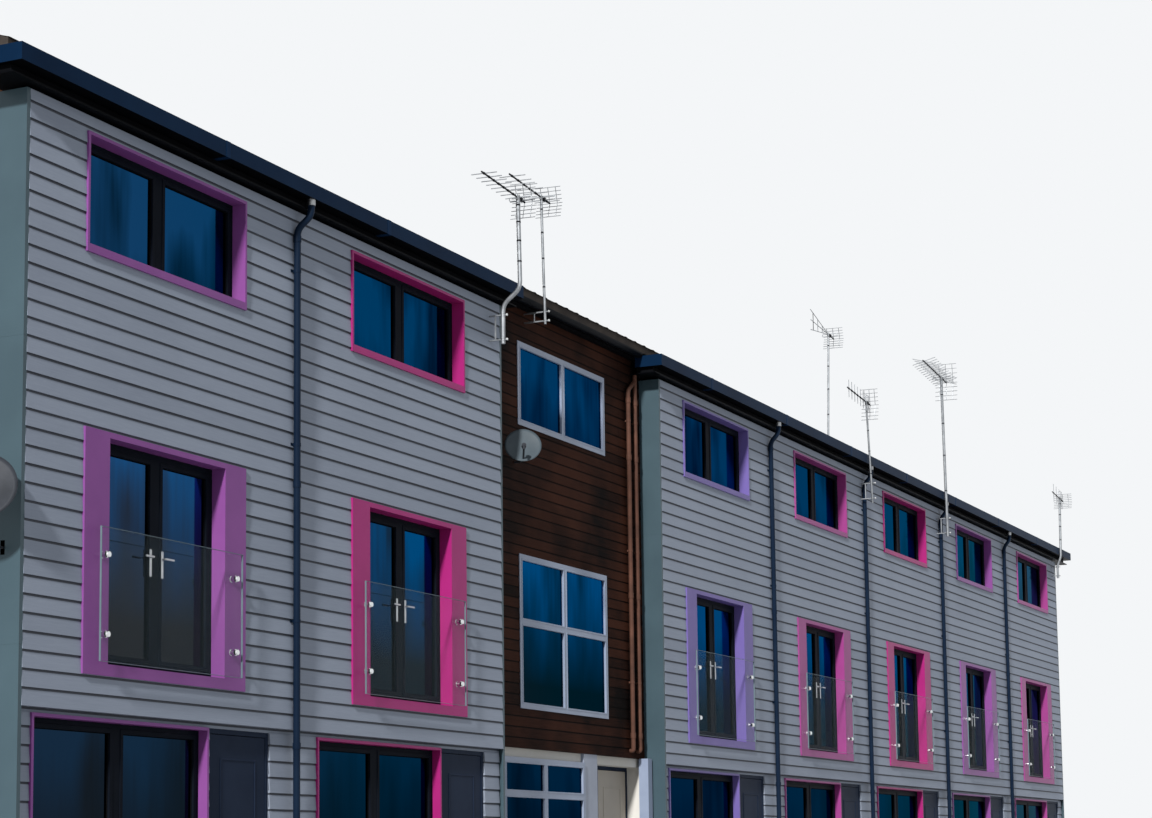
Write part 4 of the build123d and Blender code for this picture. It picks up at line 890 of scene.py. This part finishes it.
def bracket(metal, caps, mast, wall, levels, radius):
    """A wall plate, two arms joined by a strut, and clamps that hold the mast to the arms."""
    foot, above = mast[:2]
    x, y, face, middle = foot.x, foot.y, wall - 0.006, (foot.y + wall) / 2
    bar(metal, x - 0.020, x + 0.020, face, wall, levels[0] - 0.020, levels[1] + 0.020, 0.001)
    bar(metal, x - 0.007, x + 0.007, middle - 0.007, middle + 0.007, *levels)
    for z in levels:
        bar(metal, x - 0.008, x + 0.008, y - 0.050, face, z - 0.008, z + 0.008, 0.001)
        bar(caps, x - 0.013, x + 0.013, y - 0.060, y - 0.044, z - 0.013, z + 0.013, 0.005)
        held = foot.lerp(above, (z - foot.z) / (above.z - foot.z))
        for clamp in (z - 0.016, z + 0.010):
            collar(metal, held.x, held.y, clamp, clamp + 0.006, radius + 0.004)


MASTS = [
    ("aerials", 0.025, [(8.530, -0.190, 7.110), (8.530, -0.190, 7.560), (8.530, -0.410, 7.720),
                        (8.490, -0.410, 8.790)], 0.0, (7.160, 7.440),
     rake, dict(reach=1.08, back=0.22, rods=9, half=0.15, fold=0.20)),
    ("aerials", 0.016, [(10.010, -0.010, 7.660), (9.935, -0.010, 9.215)], 0.280, (7.700, 7.810),
     rake, dict(reach=1.03, back=0.30, rods=7, half=0.16, fold=0.18)),
    ("aerials", 0.016, [(20.200, -0.050, 7.775), (20.350, -0.050, 9.640)], 0.190, (7.896, 7.922),
     fan, dict(reach=1.15, back=0.35, spread=0.16)),
    ("aerial_party_5_6", 0.016, [(21.850, -0.225, 7.100), (21.650, -0.225, 8.765)], 0.0,
     (7.180, 7.430), rake,
     dict(reach=1.30, back=0.30, rods=8, half=0.14, fold=0.25, upright=True)),
    ("aerial_party_6_7", 0.025, [(26.200, -0.225, 7.085), (26.090, -0.225, 9.985)], 0.0,
     (7.150, 7.415), rake,
     dict(reach=1.60, back=0.50, rods=12, half=0.20, fold=0.33, crossed=True)),
    ("aerial_right_end", 0.025, [(34.800, -0.150, 7.250), (34.800, -0.150, 7.540),
                                 (34.800, -0.225, 7.690), (34.880, -0.225, 8.990)], 0.0,
     (7.300, 7.490), rake,
     dict(reach=1.00, back=0.50, rods=4, half=0.19, fold=0.15, upright=True)),
]
for node in ("aerials", "aerial_party_5_6", "aerial_party_6_7", "aerial_right_end"):
    metal, dark, caps = bmesh.new(), bmesh.new(), bmesh.new()
    for _, radius, points, wall, levels, antenna, sizes in [m for m in MASTS if m[0] == node]:
        mast = [on_front(*p) for p in points]
        round_tube(metal, mast, radius, 14, bend=0.09)
        bracket(metal, caps, mast, front_face + wall, levels, radius)
        below, top = mast[-2:]
        struts(caps, Matrix.Identity(4), [(top.lerp(below, 0.01), top)], radius + 0.001, 14)
        for share in (0.12, 0.30, 0.50, 0.72):
            tape = top.lerp(below, share)
            struts(dark, Matrix.Identity(4), [(tape, tape + Vector((0, 0, 0.018)))],
                   radius + 0.0015, 14)
        boom = Matrix.Translation(top - Vector((0, 0, BOOM_DROP))) @ Matrix.Rotation(AIM, 4, "Z")
        antenna(metal, dark, boom, **sizes)
        clamp, bolt = radius + 0.006, radius + 0.012
        struts(metal, boom, [((-clamp, 0, -0.030), (-clamp, 0, 0.030)),
                             ((-bolt, 0, 0), (bolt, 0, 0))], 0.013, 8)
    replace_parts(new_piece(f"{node}_tubes", metal, galvanised), node)
    new_piece(f"{node}_booms", dark, dark_plastic)
    new_piece(f"{node}_caps", caps, cap_plastic)


# Satellite dishes: pressed steel bowls with a rolled rim, painted grey, each on a bent tube
# from a wall plate. A lower arm carries the feed, a horn in a plastic case.
DISH_DEPTH, DISH_SKIN, DISH_ARM_R = 0.12, 0.005, 0.012
FACING = Vector((-0.82, -0.45, 0.35)).normalized()
dark_enamel = mottled("dark_grey_dish_enamel", "#2B2E33", "#383B41", 0.2, 0.003, 0.0002, 0.5,
                      gloss=0.15)
grey_enamel = mottled("pale_grey_dish_enamel", "#465056", "#515B61", 0.2, 0.003, 0.0002, 0.5,
                      gloss=0.2)
DISH_RINGS, DISH_STEPS, ARM_SIDES, CASE_SIDES = 8, 40, 12, 18
FOOT_THIN, FOOT_WIDE, FOOT_HALF = 0.008, 0.045, 0.060
fittings = bmesh.new()
for name, enamel, centre, radius, foot, away in (
        ("left_end_dish", dark_enamel, on_front(-0.100, 0.120, 4.280), 0.300,
         on_front(0.240, 0.160, 3.850), Vector((-1, 0, 0))),
        ("brown_bay_dish", grey_enamel, on_front(9.520, 0.060, 6.120), 0.215,
         on_front(9.720, 0.280, 5.980), Vector((0, -1, 0)))):
    across = Vector((0, 0, 1)).cross(FACING).normalized()
    upward = FACING.cross(across)
    turned = Matrix.Translation(centre) @ Matrix((across, upward, FACING)).transposed().to_4x4()
    depth = radius * DISH_DEPTH
    ball = (radius ** 2 + depth ** 2) / (2 * depth)
    steps = [radius * i / DISH_RINGS for i in range(DISH_RINGS + 1)]
    back = [(r, ball - sqrt(ball ** 2 - r ** 2)) for r in steps]
    front = [(r, z + DISH_SKIN) for r, z in back]
    bowl = bmesh.new()
    line = [bowl.verts.new((r, 0, z)) for r, z in back + front[::-1]]
    ribs = [bowl.edges.new(pair) for pair in zip(line, line[1:])]
    bmesh.ops.spin(bowl, geom=line + ribs, cent=(0, 0, 0), axis=(0, 0, 1), angle=2 * pi,
                   steps=DISH_STEPS, use_merge=True)
    bmesh.ops.remove_doubles(bowl, verts=bowl.verts, dist=0.0002)
    bmesh.ops.transform(bowl, verts=bowl.verts, matrix=turned)
    new_piece(name, bowl, enamel, smooth=True)
    low = centre - upward * radius * 0.8 + FACING * (DISH_SKIN + depth * 0.6)
    feed = centre - upward * radius * 0.55 + FACING * radius * 1.1
    throat = feed - FACING * 0.045
    round_tube(fittings, [low, feed], DISH_ARM_R, ARM_SIDES)
    round_tube(fittings, [feed, throat], 0.027, CASE_SIDES)
    round_tube(fittings, [throat, feed - FACING * 0.070], 0.019, CASE_SIDES)
    round_tube(fittings, [feed, feed - Vector((0, 0, 0.050))], 0.016, ARM_SIDES)
    knee = foot + away * radius * 0.45
    seat = centre - upward * radius * 0.25 + FACING * DISH_SKIN
    round_tube(fittings, [foot, knee, seat], DISH_ARM_R, ARM_SIDES, bend=0.04)
    plate = foot - away * FOOT_THIN / 2
    half_x, half_y = [(FOOT_THIN if away[i] else FOOT_WIDE) / 2 for i in (0, 1)]
    bar(fittings, plate.x - half_x, plate.x + half_x, plate.y - half_y, plate.y + half_y,
        plate.z - FOOT_HALF, plate.z + FOOT_HALF, 0.001)
    round_tube(fittings, [seat - FACING * 0.030, seat - FACING * 0.004], 0.045, 16)
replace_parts(new_piece("dish_fittings", fittings, dark_enamel),
            "satellite_dishes")


# Floor and backdrop of the studio: a plain pale floor that shades into a pale surround. Rays
# from the camera, mirrors and glass see both paler than they light the row.
def seen_directly(tree):
    """A node that is 1 for rays from the camera, a mirror or glass, and 0 for light."""
    rays = add_node(tree, "LightPath")
    seen = add_node(tree, "Math", {0: (rays, "Is Camera Ray"), 1: (rays, "Is Glossy Ray")},
                    operation="MAXIMUM")
    return add_node(tree, "Math", {0: (seen, "Value"), 1: (rays, "Is Transmission Ray")},
                    operation="MAXIMUM")


floor_mesh = bmesh.new()
bmesh.ops.create_grid(floor_mesh, x_segments=1, y_segments=1, size=400)
floor_data = bpy.data.meshes.new("studio_floor")
floor_mesh.to_mesh(floor_data)
floor_mesh.free()
floor_paint, tree, shader, place = start_material("studio_floor_paint", Roughness=0.9)
mix = add_node(tree, "Mix", {0: (seen_directly(tree), "Value")}, data_type="RGBA",
               in6=linear("#A9A9A8"), in7=linear("#DCDCDB"))
tree.links.new(mix.outputs[2], shader.inputs["Base Color"])
floor_data.materials.append(floor_paint)
studio_floor = bpy.data.objects.new("studio_floor", floor_data)
bpy.context.scene.collection.objects.link(studio_floor)

world = bpy.data.worlds.new("studio_surround")
world.use_nodes = True
bpy.context.scene.world = world
sky = world.node_tree
sky.nodes.clear()
soft_fill = add_node(sky, "Background", Color=linear("#E9F0FA"), Strength=0.44)
backdrop = add_node(sky, "Background", Color=linear("#F4F6F8"), Strength=1.0)
both_skies = add_node(sky, "MixShader", {0: (seen_directly(sky), "Value"),
                                         1: (soft_fill, "Background"),
                                         2: (backdrop, "Background")})
add_node(sky, "OutputWorld", {"Surface": (both_skies, "Shader")})


# Lamps: a wide soft lamp that grazes the front from the left, as daylight does there, and a
# weaker one for the rear. Between them and the surround a colour renders about as written.
OFF_FRONT = radians(9)
LAMPS = {"key_light": (4.0, 4, Vector((-cos(OFF_FRONT), -sin(OFF_FRONT), 0.56))),
         "rear_light": (1.3, 20, Vector((0.55, 0.75, 0.45)))}
for name, (energy, spread, towards) in LAMPS.items():
    lamp_data = bpy.data.lights.new(name, "SUN")
    lamp_data.energy = energy
    lamp_data.angle = radians(spread)
    lamp = bpy.data.objects.new(name, lamp_data)
    bpy.context.scene.collection.objects.link(lamp)
    lamp.rotation_euler = towards.to_track_quat("Z", "Y").to_euler()


# Camera: at the photograph's place, 1.2 m above the ground off the row's left end. It looks
# along the row and a little up, and its lens is shifted as in the photograph's framing.
LENS, LIFT, PLACE = 74.588, 0.15, (-32.6809, -16.0414, 1.2254)
YAW, PITCH, ROLL = radians(65.2), radians(6.9108), radians(-0.7277)
ahead = Vector((sin(YAW) * cos(PITCH), cos(YAW) * cos(PITCH), sin(PITCH)))
right = Vector((cos(YAW), -sin(YAW), 0))
up = right.cross(ahead)
right, up = right * cos(ROLL) + up * sin(ROLL), up * cos(ROLL) - right * sin(ROLL)
camera_data = bpy.data.cameras.new("camera")
camera_data.lens = LENS
camera_data.shift_y = LIFT
camera_data.clip_end = 1000
camera = bpy.data.objects.new("camera", camera_data)
bpy.context.scene.collection.objects.link(camera)
turned = Matrix((right, up, -ahead)).transposed().to_4x4()
camera.matrix_world = Matrix.Translation(PLACE) @ turned
bpy.context.scene.camera = camera
bpy.context.scene.view_settings.view_transform = "Standard"
